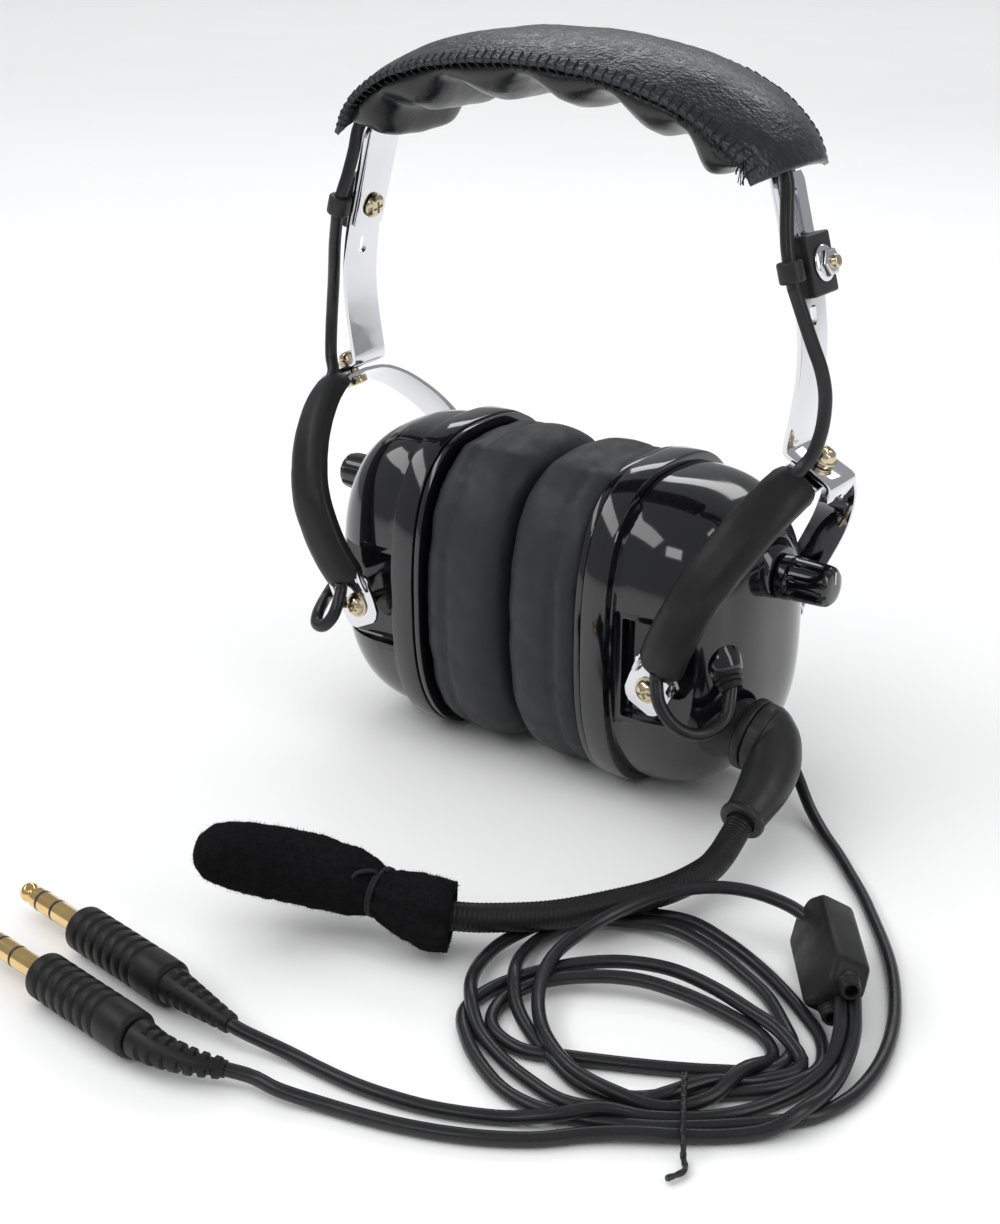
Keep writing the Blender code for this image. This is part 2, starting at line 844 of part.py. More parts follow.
def hanger_cable(side, frame):
    """From the guide down beside the strap to the top of the sleeve."""
    down = Vector((math.sin(STRAP_SLOPE), 0, -math.cos(STRAP_SLOPE)))
    sleeve_top = foot_point(0.0, 74.4)
    route = [
        GUIDE + down * 4.9,
        (89.2, -10.2, 162.0),
        (91.6, -8.2, 154.0),
        (94.0, -6.2, 146.0),
        (95.4, -5.6, 138.0),
        (95.4, -6.6, 129.0),
        (94.0, -8.6, 121.5),
        (sleeve_top.x + 0.6, -10.0, sleeve_top.z + 3.2),
    ]
    return rubber(tube(f"{side}_hanger_cable", route, LOOM_RADIUS, frame, gap=7.0))


LOOPS = {
    "left": [
        (63.6, -42.6, 52.5),
        (66.0, -44.5, 46.6),
        (70.2, -44.0, 40.9),
        (74.6, -40.5, 37.2),
        (78.2, -35.5, 36.8),
        (80.8, -29.6, 40.4),
        tuple(GROMMET_AT + GROMMET_AXIS * 7.4),
    ],
    "right": [
        (62.6, -42.6, 52.5),
        (61.6, -45.2, 49.6),
        (61.8, -48.0, 45.0),
        (64.6, -49.6, 41.2),
        (68.8, -48.6, 40.6),
        (72.0, -44.4, 42.0),
        (76.0, -37.5, 42.6),
        (80.2, -30.2, 42.4),
        tuple(GROMMET_AT + GROMMET_AXIS * 7.4),
    ],
}


def cable_loop(side, frame):
    """From the lower end of the sleeve round to the grommet in the shell."""
    return rubber(tube(f"{side}_cable_loop", LOOPS[side], LOOM_RADIUS, frame, gap=5.0))


# ---------------------------------------------------------------- boom microphone


# Where the elbow's middle runs, where it heads, and its half sizes across and up.
ELBOW = [
    ((92.4, -18.6, 27.0), (0.90, -0.38, -0.18), 10.2, 9.8),
    ((94.6, -24.2, 24.4), (0.55, -0.78, -0.30), 8.9, 8.6),
    ((95.6, -30.6, 21.0), (0.20, -0.88, -0.42), 8.0, 7.8),
    ((95.6, -37.0, 17.6), (0.05, -0.90, -0.44), 7.0, 7.0),
    ((95.4, -42.4, 15.0), (0.05, -0.92, -0.40), 6.3, 6.3),
]


def boom(swing):
    """The mount on the cup, and the elbow, gooseneck, capsule and muff that swing on it."""
    mount = turned(
        "boom_mount",
        [(2.6, 2.2), (11.4, 2.2), (11.7, 1.6), (11.7, -0.4), (9.0, -1.4), (8.4, -3.2), (2.6, -3.2)],
        swing,
        20,
        turn=OUTWARD,
    )
    matte_black(mount)
    arm = [
        (-0.5, 0.0, 2.6, 11.3, 11.3),
        (0.0, 0.0, 3.2, 11.6, 11.6),
        (0.0, 0.0, 6.4, 11.6, 11.6),
        (1.0, -0.2, 8.0, 10.6, 10.8),
    ]
    rings = []
    for shift_y, shift_z, x, half_y, half_z in arm:
        rings.append(outline(x, half_y, half_z, 0.0, 2.2, 18))
    lay_flat = Matrix.Rotation(-BOOM_LEAN, 3, "Y")
    for at, ahead, half_across, half_up in ELBOW:
        at = lay_flat @ (Vector(at) - Vector(BOOM_AT))
        ahead = (lay_flat @ Vector(ahead)).normalized()
        up = (Vector((0.25, 0, 1)) - ahead * ahead.dot(Vector((0.25, 0, 1)))).normalized()
        aside = ahead.cross(up)
        ring = []
        for k in range(18):
            angle = 2 * math.pi * (k + 0.5) / 18
            ring.append(at - aside * half_across * math.cos(angle) + up * half_up * math.sin(angle))
        rings.append(ring)
    elbow = skin("boom_elbow", rings, swing)
    end = lay_flat @ (Vector(ELBOW[-1][0]) - Vector(BOOM_AT))
    heading = lay_flat @ Vector(ELBOW[-1][1])
    drill(
        elbow,
        4.7,
        -9,
        3,
        swing,
        16,
        where=end,
        turn=tuple(heading.to_track_quat("Z", "Y").to_euler()),
    )
    drill(elbow, 2.6, 0, 7.0, swing, 16, turn=OUTWARD)
    matte_black(elbow)
    pin = turned("boom_pivot_pin", [(0, 6.6), (2.2, 6.6), (2.2, -3.0), (0, -3.0)], swing, 16, turn=OUTWARD)
    chrome(pin)
    return mount, elbow, pin


GOOSENECK = [
    (95.1, -36.4, 17.6),
    (95.4, -42.4, 15.0),
    (96.2, -50.0, 12.0),
    (97.2, -58.0, 10.0),
    (97.4, -67.0, 9.2),
    (94.2, -82.0, 9.0),
    (87.0, -96.5, 9.0),
    (76.0, -113.5, 9.2),
    (63.5, -129.0, 11.2),
    (54.8, -137.0, 12.8),
]
MUFF = [
    ((57.2, -135.4, 12.6), 9.6),
    ((53.0, -137.6, 13.0), 10.2),
    ((46.0, -139.2, 13.8), 9.6),
    ((38.6, -140.2, 14.8), 7.6),
    ((35.8, -140.6, 15.2), 7.0),
    ((33.0, -141.2, 15.6), 7.6),
    ((27.0, -143.0, 16.6), 9.6),
    ((16.0, -148.0, 18.8), 10.2),
    ((7.0, -154.6, 21.6), 10.2),
    ((0.6, -162.6, 25.0), 9.6),
    ((-2.6, -168.6, 27.6), 8.0),
    ((-4.0, -172.0, 29.2), 5.4),
]


def gooseneck_and_muff(frame):
    neck = rubber(tube("gooseneck", GOOSENECK, GOOSENECK_RADIUS, frame, sides=3, gap=9.0))
    places = [Vector(p) for p, _ in MUFF]
    outer = []
    inner = []
    for i, (at, radius) in enumerate(MUFF):
        ahead = (places[min(i + 1, len(places) - 1)] - places[max(i - 1, 0)]).normalized()
        aside = ahead.cross(Vector((0, 0, 1))).normalized()
        up = aside.cross(ahead)
        circle = [(math.cos(2 * math.pi * k / 14), math.sin(2 * math.pi * k / 14)) for k in range(14)]
        outer.append([places[i] + (aside * c + up * s) * radius for c, s in circle])
        hollow = min(radius - 1.6, 7.4) if i > 4 else radius - 1.6
        if i < len(MUFF) - 2:
            inner.append([places[i] + (aside * c + up * s) * max(hollow, 4.9) for c, s in circle])
    muff = cloth(skin("mic_muff", inner[::-1] + outer, frame))
    start = Vector((35.0, -140.9, 15.3))
    ahead = (Vector((8.0, -153.4, 21.0)) - start).normalized()
    capsule = turned(
        "mic_capsule",
        [(0, 28.0), (4.4, 28.0), (5.4, 27.0), (5.4, 6.0), (4.6, 5.0), (4.6, 3.0), (0, 3.0)],
        frame,
        16,
        where=start,
        turn=tuple(ahead.to_track_quat("Z", "Y").to_euler()),
    )
    matte_black(capsule)
    tie_at = Vector((35.8, -140.6, 15.2))
    heading = (places[5] - places[3]).normalized()
    tie = turned(
        "muff_tie",
        [(7.35, 1.1), (8.3, 0.7), (8.5, 0.0), (8.3, -0.7), (7.35, -1.1)],
        frame,
        20,
        where=tie_at,
        turn=tuple(heading.to_track_quat("Z", "Y").to_euler()),
    )
    cloth(tie)
    return neck, muff, capsule, tie


# ---------------------------------------------------------------- cords on the table

# Places round the coil: outer edge, then inner edge.
COIL = [
    ((70.0, -143.0), (92.5, -134.0)),
    ((75.0, -131.0), (92.0, -124.0)),
    ((82.0, -121.0), (95.0, -119.0)),
    ((88.5, -111.5), (100.0, -117.8)),
    ((97.0, -98.0), (106.0, -117.0)),
    ((104.0, -89.5), (113.0, -116.8)),
    ((115.0, -88.0), (122.0, -117.2)),
    ((128.0, -95.5), (132.0, -118.4)),
    ((141.0, -104.0), (143.0, -121.0)),
    ((155.0, -114.5), (153.0, -125.6)),
    ((167.0, -122.0), (155.0, -129.5)),
    ((172.0, -135.0), (149.0, -139.5)),
    ((169.5, -150.0), (141.5, -144.6)),
    ((160.5, -162.0), (135.5, -147.8)),
    ((149.0, -172.5), (130.0, -151.0)),
    ((134.5, -179.5), (125.0, -153.4)),
    ((118.5, -183.0), (117.5, -155.4)),
    ((103.0, -179.4), (109.5, -157.0)),
    ((88.0, -170.5), (102.0, -151.5)),
    ((76.0, -158.0), (96.0, -143.4)),
]


COIL_SECTION = [
    (0.0, 2.4),
    (0.1, 0.0),
    (0.9, 0.0),
    (1.0, 2.4),
    (1.0, 7.2),
    (0.88, COIL_TOP),
    (0.12, COIL_TOP),
    (0.0, 7.2),
]


def coil(frame):
    """The wound cord as one solid, standing on the table."""
    outer = smooth_route([(x, y, 0) for (x, y), _ in COIL], 9.0, closed=True)
    inner = smooth_route([(x, y, 0) for _, (x, y) in COIL], 9.0 * 0.62, closed=True)
    count = 32
    outer = [outer[round(i * len(outer) / count) % len(outer)] for i in range(count)]
    inner = [inner[round(i * len(inner) / count) % len(inner)] for i in range(count)]
    rings = []
    for a, b in zip(outer, inner):
        ring = []
        for share, z in COIL_SECTION:
            at = a.lerp(b, share)
            ring.append((at.x, at.y, z))
        rings.append(ring)
    return rubber(skin("cord_coil", rings, frame, looped=True))


LEADS = {
    "a": [
        (162.6, -111.4, 8.6),
        (166.0, -118.0, 12.2),
        (168.6, -128.0, 12.4),
        (168.6, -140.0, 12.4),
        (165.2, -154.0, 12.4),
        (157.0, -167.0, 12.4),
        (146.0, -175.4, 12.4),
        (134.0, -181.0, 12.0),
        (120.6, -188.4, 8.0),
        (108.0, -194.6, 3.4),
        (92.0, -198.8, 2.1),
        (73.0, -200.9, 2.1),
        (55.0, -201.6, 2.4),
        (41.6, -202.4, 4.6),
    ],
    "b": [
        (167.2, -109.4, 8.6),
        (171.4, -117.6, 12.2),
        (173.6, -128.0, 12.4),
        (173.6, -141.0, 12.4),
        (170.0, -156.0, 12.4),
        (161.2, -170.2, 12.4),
        (149.0, -179.6, 12.4),
        (137.0, -186.4, 9.0),
        (123.0, -195.0, 3.6),
        (108.0, -203.4, 2.0),
        (92.0, -208.8, 2.1),
        (76.0, -212.0, 2.1),
        (62.0, -213.6, 2.4),
        (52.2, -215.4, 4.4),
    ],
}
DOWNLEAD = [
    (83.6, 8.0, 14.6),
    (90.0, 6.0, 8.6),
    (99.6, -1.0, 3.4),
    (111.0, -14.0, 2.0),
    (124.0, -28.6, 2.0),
    (137.0, -42.6, 2.0),
    (150.0, -57.6, 2.0),
    (162.0, -74.0, 2.0),
    (171.6, -92.0, 2.0),
    (178.4, -112.0, 2.0),
    (180.6, -130.0, 2.0),
    (178.0, -146.0, 2.0),
    (174.6, -151.6, 2.2),
]
TAIL = [
    (99.6, -91.4, 12.0),
    (98.0, -85.0, 15.6),
    (99.6, -77.0, 15.9),
    (105.0, -70.4, 12.0),
    (112.0, -66.4, 8.6),
    (121.6, -65.4, 8.4),
    (131.0, -68.6, 10.0),
]


TIE = [
    (134.0, -143.4, 1.2),
    (134.6, -144.4, 9.0),
    (138.0, -149.8, 15.8),
    (143.5, -159.0, 17.0),
    (150.6, -171.4, 17.0),
    (154.0, -177.0, 16.6),
    (156.6, -181.4, 9.0),
    (157.0, -182.2, 1.4),
    (158.0, -186.0, 1.2),
    (156.4, -190.6, 1.2),
]


def y_box(frame):
    """The moulded block where the cord divides: a flat six-sided plate standing on its narrow side."""
    half = [(15.0, -9.0), (21.0, -3.6), (21.0, 3.6), (15.0, 9.0)]
    shape = half + [(-x, -z) for x, z in half]
    rings = []
    for y, inset in ((-5.3, 0.9), (-4.5, 0.0), (4.5, 0.0), (5.3, 0.9)):
        rings.append([(x * (1 - inset / 21), y, z * (1 - inset / 9)) for x, z in shape])
    lean = Matrix.Rotation(math.radians(-54), 3, "Z") @ Matrix.Rotation(math.radians(-28), 3, "X")
    turn = tuple(lean.to_euler())
    return rubber(skin("y_box", rings, frame, where=(149.6, -88.4, 10.9), turn=turn))


def plug(name, shoulder, tail, relief, frame):
    """A three-contact phone plug: a pin, and a ringed handle with a slotted, tapering relief."""
    shoulder = Vector(shoulder)
    ahead = (Vector(tail) - shoulder).normalized()
    turn = tuple(ahead.to_track_quat("Z", "Y").to_euler())
    pin = turned(
        f"{name}_pin",
        [
            (0, 8.0),
            (2.4, 8.0),
            (2.4, -0.6),
            (4.6, -0.6),
            (4.6, -1.6),
            (3.17, -1.6),
            (3.17, -12.4),
            (2.9, -13.0),
            (3.17, -13.6),
            (3.17, -19.6),
            (2.9, -20.2),
            (3.17, -20.8),
            (3.17, -23.4),
            (2.2, -25.0),
            (2.2, -25.8),
            (3.0, -27.2),
            (2.7, -28.6),
            (1.4, -30.0),
            (0, -30.4),
        ],
        frame,
        12,
        where=shoulder,
        turn=turn,
    )
    brass(pin)
    profile = [(0, 8.4), (2.7, 8.4), (2.7, -0.2), (6.0, -0.2), (6.6, 0.6)]
    for k in range(4):
        z = 4.0 + 7.0 * k
        profile += [(6.6, z), (5.8, z + 1.0), (6.6, z + 2.0)]
    profile += [(6.6, 33.4), (6.5, 40.4), (5.9, 41.4)]
    length = (Vector(relief) - Vector(tail)).length + 41.2
    for k in range(3):
        z = 43.0 + (length - 44.0) * k / 3
        wide = 5.7 - 0.85 * k
        profile += [(wide, z), (wide - 1.2, z + 1.6), (wide - 0.1, z + 3.2)]
    profile += [(3.1, length), (2.7, length), (2.7, length - 5.0), (0, length - 5.0)]
    handle = turned(f"{name}_handle", profile[::-1], frame, 12, where=shoulder, turn=turn)
    return pin, rubber(handle)


def cords(frame):
    coil(frame)
    rubber(tube("downlead", DOWNLEAD, CORD_RADIUS, frame, gap=10.0))
    rubber(tube("coil_tail", TAIL, CORD_RADIUS, frame, gap=7.0))
    y_box(frame)
    for key, route in LEADS.items():
        rubber(tube(f"lead_{key}", route, CORD_RADIUS, frame, gap=10.0))
    plug("plug_a", (-27.7, -194.5, 6.7), (13.2, -200.5, 6.7), (37.9, -204.1, 6.7), frame)
    plug("plug_b", (-17.8, -217.5, 6.7), (25.4, -223.2, 6.7), (50.0, -226.4, 6.7), frame)
    rubber(tube("coil_tie", TIE, 0.8, frame, sides=1, gap=4.0))


# ---------------------------------------------------------------- the whole headset

HEADSET = empty("headset", where=HEADSET_AT)
for SIDE, MIRRORED in (("left", False), ("right", True)):
    CUP = empty(f"{SIDE}_cup", HEADSET, mirrored=MIRRORED)
    AXIS = empty(f"{SIDE}_yoke_axes", CUP, (PIVOT_X, 0, PIVOT_Z), (0, SWIVEL_LEAN, 0))
    cup_pieces(SIDE, CUP)
    volume_knob(SIDE, CUP)
    yoke(SIDE, AXIS)
    yoke_sleeve(SIDE, AXIS)
    swivel_screw(SIDE, AXIS)
    hanger(SIDE, CUP)
    clamp(SIDE, CUP)
    hanger_cable(SIDE, CUP)
    cable_loop(SIDE, CUP)
BOOM_AXIS = empty("boom_axis", HEADSET, BOOM_AT, (0, BOOM_LEAN, 0))
headband_spring(HEADSET)
pad(HEADSET)
headband_cable(HEADSET)
boom(BOOM_AXIS)
gooseneck_and_muff(HEADSET)
cords(HEADSET)
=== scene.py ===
"""Aviation headset with twin plugs: the visual model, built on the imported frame. Lengths are in millimetres
in the headset's own frame until put() takes them to the row frame."""

import math
import random

import bmesh
import bpy
import numpy as np
from mathutils import Matrix, Vector, noise
from mathutils.kdtree import KDTree


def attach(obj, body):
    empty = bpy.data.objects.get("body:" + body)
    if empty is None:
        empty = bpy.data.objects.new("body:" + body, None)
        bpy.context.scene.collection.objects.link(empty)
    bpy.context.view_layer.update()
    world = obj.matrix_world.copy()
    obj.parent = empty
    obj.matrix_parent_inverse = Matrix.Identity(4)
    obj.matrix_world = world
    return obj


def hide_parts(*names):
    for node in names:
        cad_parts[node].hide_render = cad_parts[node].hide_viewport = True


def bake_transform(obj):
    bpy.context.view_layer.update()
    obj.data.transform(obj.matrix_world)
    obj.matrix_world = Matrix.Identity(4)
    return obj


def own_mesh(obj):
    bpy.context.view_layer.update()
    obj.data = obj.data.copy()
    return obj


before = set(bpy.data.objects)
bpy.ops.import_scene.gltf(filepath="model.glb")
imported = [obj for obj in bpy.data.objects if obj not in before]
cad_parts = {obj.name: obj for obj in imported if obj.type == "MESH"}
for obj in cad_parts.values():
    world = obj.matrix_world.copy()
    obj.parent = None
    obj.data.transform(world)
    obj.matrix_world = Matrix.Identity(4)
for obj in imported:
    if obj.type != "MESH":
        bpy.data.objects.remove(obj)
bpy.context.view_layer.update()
SCENE = bpy.context.scene
MM = 0.001
HEADSET_AT = Vector((-1.564, 65.839, 0.0))
SIDES = ("left", "right")


def put(point, side="left"):
    """Headset frame to row frame. The right side is the left side mirrored."""
    x = -point[0] if side == "right" else point[0]
    return (Vector((x, point[1], point[2])) + HEADSET_AT) * MM


# ---------------------------------------------------------------- camera and light

eye = bpy.data.cameras.new("camera")
eye.lens = 58.82
eye.sensor_width = 36
eye.clip_start = 0.01
camera = bpy.data.objects.new("camera", eye)
camera.location = (0.355696, -0.448461, 0.30021)
camera.rotation_euler = (math.radians(67.875), 0, math.radians(36.794))
SCENE.collection.objects.link(camera)
SCENE.camera = camera


def area_light(name, where, target, size, power):
    data = bpy.data.lights.new(name, "AREA")
    data.shape = "RECTANGLE"
    data.size, data.size_y = size
    data.energy = power
    obj = bpy.data.objects.new(name, data)
    obj.location = where
    obj.rotation_euler = (Vector(target) - Vector(where)).to_track_quat("-Z", "Y").to_euler()
    SCENE.collection.objects.link(obj)
    return obj


area_light("key", (-0.75, -0.6, 1.0), (0, 0, 0.1), (1.5, 0.35), 5.0)
area_light("fill", (0.2, -1.2, 0.9), (0, 0, 0.08), (0.5, 0.25), 1.6)
area_light("right", (1.1, 0.0, 0.7), (0, 0, 0.1), (0.3, 1.1), 3.2)
area_light("back", (-0.3, 1.0, 0.9), (0, 0, 0.1), (1.2, 0.25), 3.2)
backdrop = area_light("backdrop", (-1.3, 1.7, 1.6), (-1.1, 1.5, 0), (2.6, 2.2), 11.0)
backdrop.visible_glossy = False
sun = bpy.data.lights.new("sky", "SUN")
sun.energy = 1.75
sun.angle = math.radians(80)
sky_light = bpy.data.objects.new("sky", sun)
sky_light.rotation_euler = (math.radians(14), math.radians(-12), 0)
SCENE.collection.objects.link(sky_light)
sky_light.visible_glossy = False
world = bpy.data.worlds.new("studio")
world.use_nodes = True
sky = world.node_tree.nodes["Background"]
sky.inputs["Color"].default_value = (0.93, 0.94, 0.965, 1)
seen_sky = world.node_tree.nodes.new("ShaderNodeLightPath").outputs["Is Camera Ray"]
strength = world.node_tree.nodes.new("ShaderNodeMapRange")
strength.inputs["To Min"].default_value = 0.38
strength.inputs["To Max"].default_value = 0.93
world.node_tree.links.new(seen_sky, strength.inputs["Value"])
world.node_tree.links.new(strength.outputs["Result"], sky.inputs["Strength"])
SCENE.world = world
SCENE.view_settings.view_transform = "Standard"


# ---------------------------------------------------------------- materials


def surface(name, base, rough, metal=0.0, other=None, tint_scale=60.0, spread=0.06, rough_scale=150.0,
            bumps=(), coat=0.0, wear=None, shine=0.5):
    """A Principled material whose colour, roughness and relief vary over the piece. Each of bumps is noise or
    cells, then a scale, strength and depth. `wear` is the colour of rubbed edges."""
    paint = bpy.data.materials.new(name)
    paint.use_nodes = True
    nodes = paint.node_tree.nodes
    link = paint.node_tree.links.new

    def fill(node, **values):
        for socket, value in values.items():
            node.inputs[socket.replace("_", " ")].default_value = value
        return node

    def ramp(source, low, high, least, most):
        node = fill(nodes.new("ShaderNodeMapRange"), From_Min=low, From_Max=high, To_Min=least, To_Max=most)
        link(source, node.inputs["Value"])
        return node.outputs["Result"]

    def mixed(factor, **colours):
        node = nodes.new("ShaderNodeMix")
        node.data_type = "RGBA"
        fill(node, **colours)
        link(factor, node.inputs["Factor"])
        return node

    def texture(kind, scale):
        if kind == "noise":
            node = fill(nodes.new("ShaderNodeTexNoise"), Detail=5, Scale=scale)
            out = node.outputs["Fac"]
        else:
            node = nodes.new("ShaderNodeTexVoronoi")
            node.feature = "SMOOTH_F1"
            fill(node, Smoothness=0.35, Scale=scale)
            out = node.outputs["Distance"]
        link(place, node.inputs["Vector"])
        return out

    shader = fill(nodes["Principled BSDF"], Metallic=metal, Coat_Weight=coat, Coat_Roughness=0.05,
                  Specular_IOR_Level=shine)
    place = nodes.new("ShaderNodeTexCoord").outputs["Object"]
    other = other or [min(1, c * 1.6 + 0.004) for c in base]
    colour = mixed(texture("noise", tint_scale), A=(*base, 1), B=(*other, 1)).outputs["Result"]
    if wear:
        edge = nodes.new("ShaderNodeNewGeometry").outputs["Pointiness"]
        worn = mixed(ramp(edge, 0.53, 0.62, 0.0, 0.6), B=(*wear, 1))
        link(colour, worn.inputs["A"])
        colour = worn.outputs["Result"]
    link(colour, shader.inputs["Base Color"])
    duller = ramp(texture("noise", rough_scale), 0.3, 0.7, max(0.02, rough - spread),
                  min(1.0, rough + spread))
    link(duller, shader.inputs["Roughness"])
    normal = None
    for kind, scale, strength, depth in bumps:
        bump = fill(nodes.new("ShaderNodeBump"), Strength=strength, Distance=depth * MM)
        link(texture(kind, scale), bump.inputs["Height"])
        if normal:
            link(normal, bump.inputs["Normal"])
        normal = bump.outputs["Normal"]
    if normal:
        link(normal, shader.inputs["Normal"])
    return paint


GLOSS = surface("gloss_black", (0.004, 0.004, 0.005), 0.09, spread=0.035, rough_scale=70, coat=0.5,
                other=(0.006, 0.006, 0.008), bumps=(("noise", 28, 0.03, 0.4), ("noise", 1400, 0.03, 0.02)))
SATIN = surface("matte_black", (0.008, 0.008, 0.0085), 0.42, shine=0.4, other=(0.02, 0.02, 0.021),
                spread=0.08, bumps=(("cells", 2600, 0.25, 0.08), ("noise", 500, 0.1, 0.05)),
                wear=(0.06, 0.06, 0.062))
RUBBER = surface("black_rubber", (0.005, 0.005, 0.0053), 0.42, shine=0.25, other=(0.017, 0.017, 0.018),
                 spread=0.08, bumps=(("noise", 1800, 0.15, 0.05), ("noise", 240, 0.12, 0.12)))
CORD = surface("cord_rubber", (0.006, 0.006, 0.0065), 0.3, shine=0.4, other=(0.018, 0.018, 0.02), spread=0.07,
               bumps=(("noise", 900, 0.12, 0.06), ("noise", 90, 0.2, 0.25)))
VINYL = surface("soft_vinyl", (0.019, 0.0195, 0.021), 0.5, shine=0.32, other=(0.027, 0.028, 0.0305),
                tint_scale=35, spread=0.09, bumps=(("cells", 1900, 0.3, 0.12), ("noise", 160, 0.35, 0.5)),
                wear=(0.04, 0.042, 0.046))
LEATHER = surface("leather", (0.006, 0.0072, 0.009), 0.34, shine=0.45, other=(0.013, 0.0155, 0.019),
                  tint_scale=90, spread=0.11, rough_scale=260, wear=(0.07, 0.078, 0.086),
                  bumps=(("cells", 780, 0.5, 0.36), ("cells", 2300, 0.25, 0.12), ("noise", 120, 0.3, 0.6)))
CUSHION = surface("cushion", (0.004, 0.0043, 0.005), 0.3, shine=0.5, other=(0.008, 0.0085, 0.01), spread=0.07,
                  bumps=(("cells", 1500, 0.25, 0.12), ("noise", 190, 0.35, 0.5)), wear=(0.03, 0.032, 0.035))
CHROME = surface("chrome", (0.82, 0.82, 0.84), 0.07, metal=1.0, other=(0.7, 0.7, 0.73), spread=0.04,
                 rough_scale=220, bumps=(("noise", 130, 0.04, 0.15), ("noise", 2400, 0.03, 0.02)))
NICKEL = surface("nickel", (0.74, 0.66, 0.49), 0.2, metal=1.0, other=(0.55, 0.46, 0.3), spread=0.08,
                 bumps=(("noise", 1600, 0.12, 0.05),))
STEEL = surface("steel", (0.62, 0.62, 0.62), 0.25, metal=1.0, other=(0.45, 0.45, 0.46), spread=0.08,
                bumps=(("noise", 1500, 0.1, 0.04),))
GOLD = surface("gold", (0.9, 0.67, 0.3), 0.14, metal=1.0, other=(0.75, 0.5, 0.2), spread=0.06,
               bumps=(("noise", 1500, 0.05, 0.03),))
FLEECE = surface("fleece", (0.004, 0.004, 0.0045), 0.95, other=(0.012, 0.012, 0.013), tint_scale=500,
                 spread=0.04, bumps=(("noise", 1500, 1.0, 0.6), ("noise", 330, 0.6, 0.8)), shine=0.05)
THREAD = surface("thread", (0.006, 0.006, 0.007), 0.6, shine=0.3, other=(0.016, 0.016, 0.018), tint_scale=900,
                 bumps=(("noise", 3000, 0.5, 0.15),))
WHITE = surface("white_paint", (0.7, 0.7, 0.68), 0.5, other=(0.6, 0.6, 0.58),
                bumps=(("noise", 2000, 0.1, 0.02),))
TABLE = surface("table", (0.80, 0.80, 0.80), 0.5, other=(0.84, 0.84, 0.84), tint_scale=8, spread=0.05,
                bumps=(("noise", 300, 0.02, 0.1),))


# ---------------------------------------------------------------- shapes


def numbers(text):
    """Rows of numbers, parted by commas."""
    return [tuple(float(word) for word in row.split()) for row in text.split(",")]


def shade(data, sharp=None):
    """Smooth shading, with edges over `sharp` degrees kept sharp."""
    data.polygons.foreach_set("use_smooth", [True] * len(data.polygons))
    if sharp is not None:
        data.set_sharp_from_angle(angle=math.radians(sharp))


def axes(ahead):
    """Two directions square to `ahead`, then `ahead` itself."""
    z = Vector(ahead).normalized()
    x = (Vector((0, 0, 1)) if abs(z.z) < 0.9 else Vector((1, 0, 0))).cross(z).normalized()
    return x, z.cross(x), z


def ring(at, x, y, reach, count, phase=0.0):
    """Points round `at` in the plane of x and y. reach is a radius, or gives one from the angle."""
    out = []
    for k in range(count):
        turn = 2 * math.pi * (k + phase) / count
        wide = reach(turn) if callable(reach) else reach
        out.append(at + (x * math.cos(turn) + y * math.sin(turn)) * wide)
    return out


def piece(name, verts, faces, paint, body=None, stands_for=(), smooth=32.0):
    data = bpy.data.meshes.new(name)
    data.from_pydata([tuple(v) for v in verts], [], faces)
    return finish_piece(name, data, paint, body, stands_for, smooth)


def finish_piece(name, data, paint, body, stands_for, smooth=32.0):
    bm = bmesh.new()
    bm.from_mesh(data)
    bmesh.ops.remove_doubles(bm, verts=bm.verts, dist=2e-6)
    bmesh.ops.recalc_face_normals(bm, faces=bm.faces)
    bm.to_mesh(data)
    bm.free()
    data.materials.clear()
    data.materials.append(paint)
    shade(data, smooth)
    obj = bpy.data.objects.new(name, data)
    SCENE.collection.objects.link(obj)
    return dress(obj, body, stands_for)


def dress(obj, body, stands_for=()):
    """Puts the piece on its body and hides the CAD nodes it stands for."""
    if body:
        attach(obj, body)
    if stands_for:
        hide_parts(*([stands_for] if isinstance(stands_for, str) else stands_for))
    return obj


def loft(name, rings, paint, side="left", looped=False, caps=True, **how):
    """Joins rings of equal count into a tube, closed at its ends or looped round."""
    count = len(rings[0])
    verts = [put(p, side) for ring in rings for p in ring]
    faces = []
    spans = len(rings) if looped else len(rings) - 1
    for i in range(spans):
        a, b = i * count, (i + 1) % len(rings) * count
        faces += [(a + k, a + (k + 1) % count, b + (k + 1) % count, b + k) for k in range(count)]
    if caps and not looped:
        faces += [tuple(range(count)), tuple(range(len(verts) - count, len(verts)))]
    return piece(name, verts, faces, paint, **how)


def rounded(profile, reach=0.3, closed=False):
    """The profile with each inner corner cut by a short arc."""
    points = [Vector(p) for p in profile]
    out = [] if closed else [points[0]]
    for i in range(0 if closed else 1, len(points) if closed else len(points) - 1):
        a, b, c = points[i - 1], points[i], points[(i + 1) % len(points)]
        cut = min(reach, (a - b).length * 0.42, (c - b).length * 0.42)
        if cut < 0.02:
            out.append(b)
            continue
        p = b + (a - b).normalized() * cut
        q = b + (c - b).normalized() * cut
        out += [p, (p + q) * 0.25 + b * 0.5, q]
    return out if closed else out + [points[-1]]


def turned(name, profile, at, ahead, paint, side="left", steps=48, reach=0.3, shape=None, **how):
    """A turned piece, from pairs of a radius and a height on the axis through `at`. shape(angle, radius,
    height) may vary the radius."""
    x, y, z = axes(ahead)
    closed = profile[0][0] > 0
    rings = []
    for radius, height in rounded(profile, reach, closed):
        wide = (lambda turn: shape(turn, radius, height)) if shape else radius
        rings.append(ring(Vector(at) + z * height, x, y, wide, steps))
    return loft(name, rings, paint, side, looped=closed, caps=False, **how)


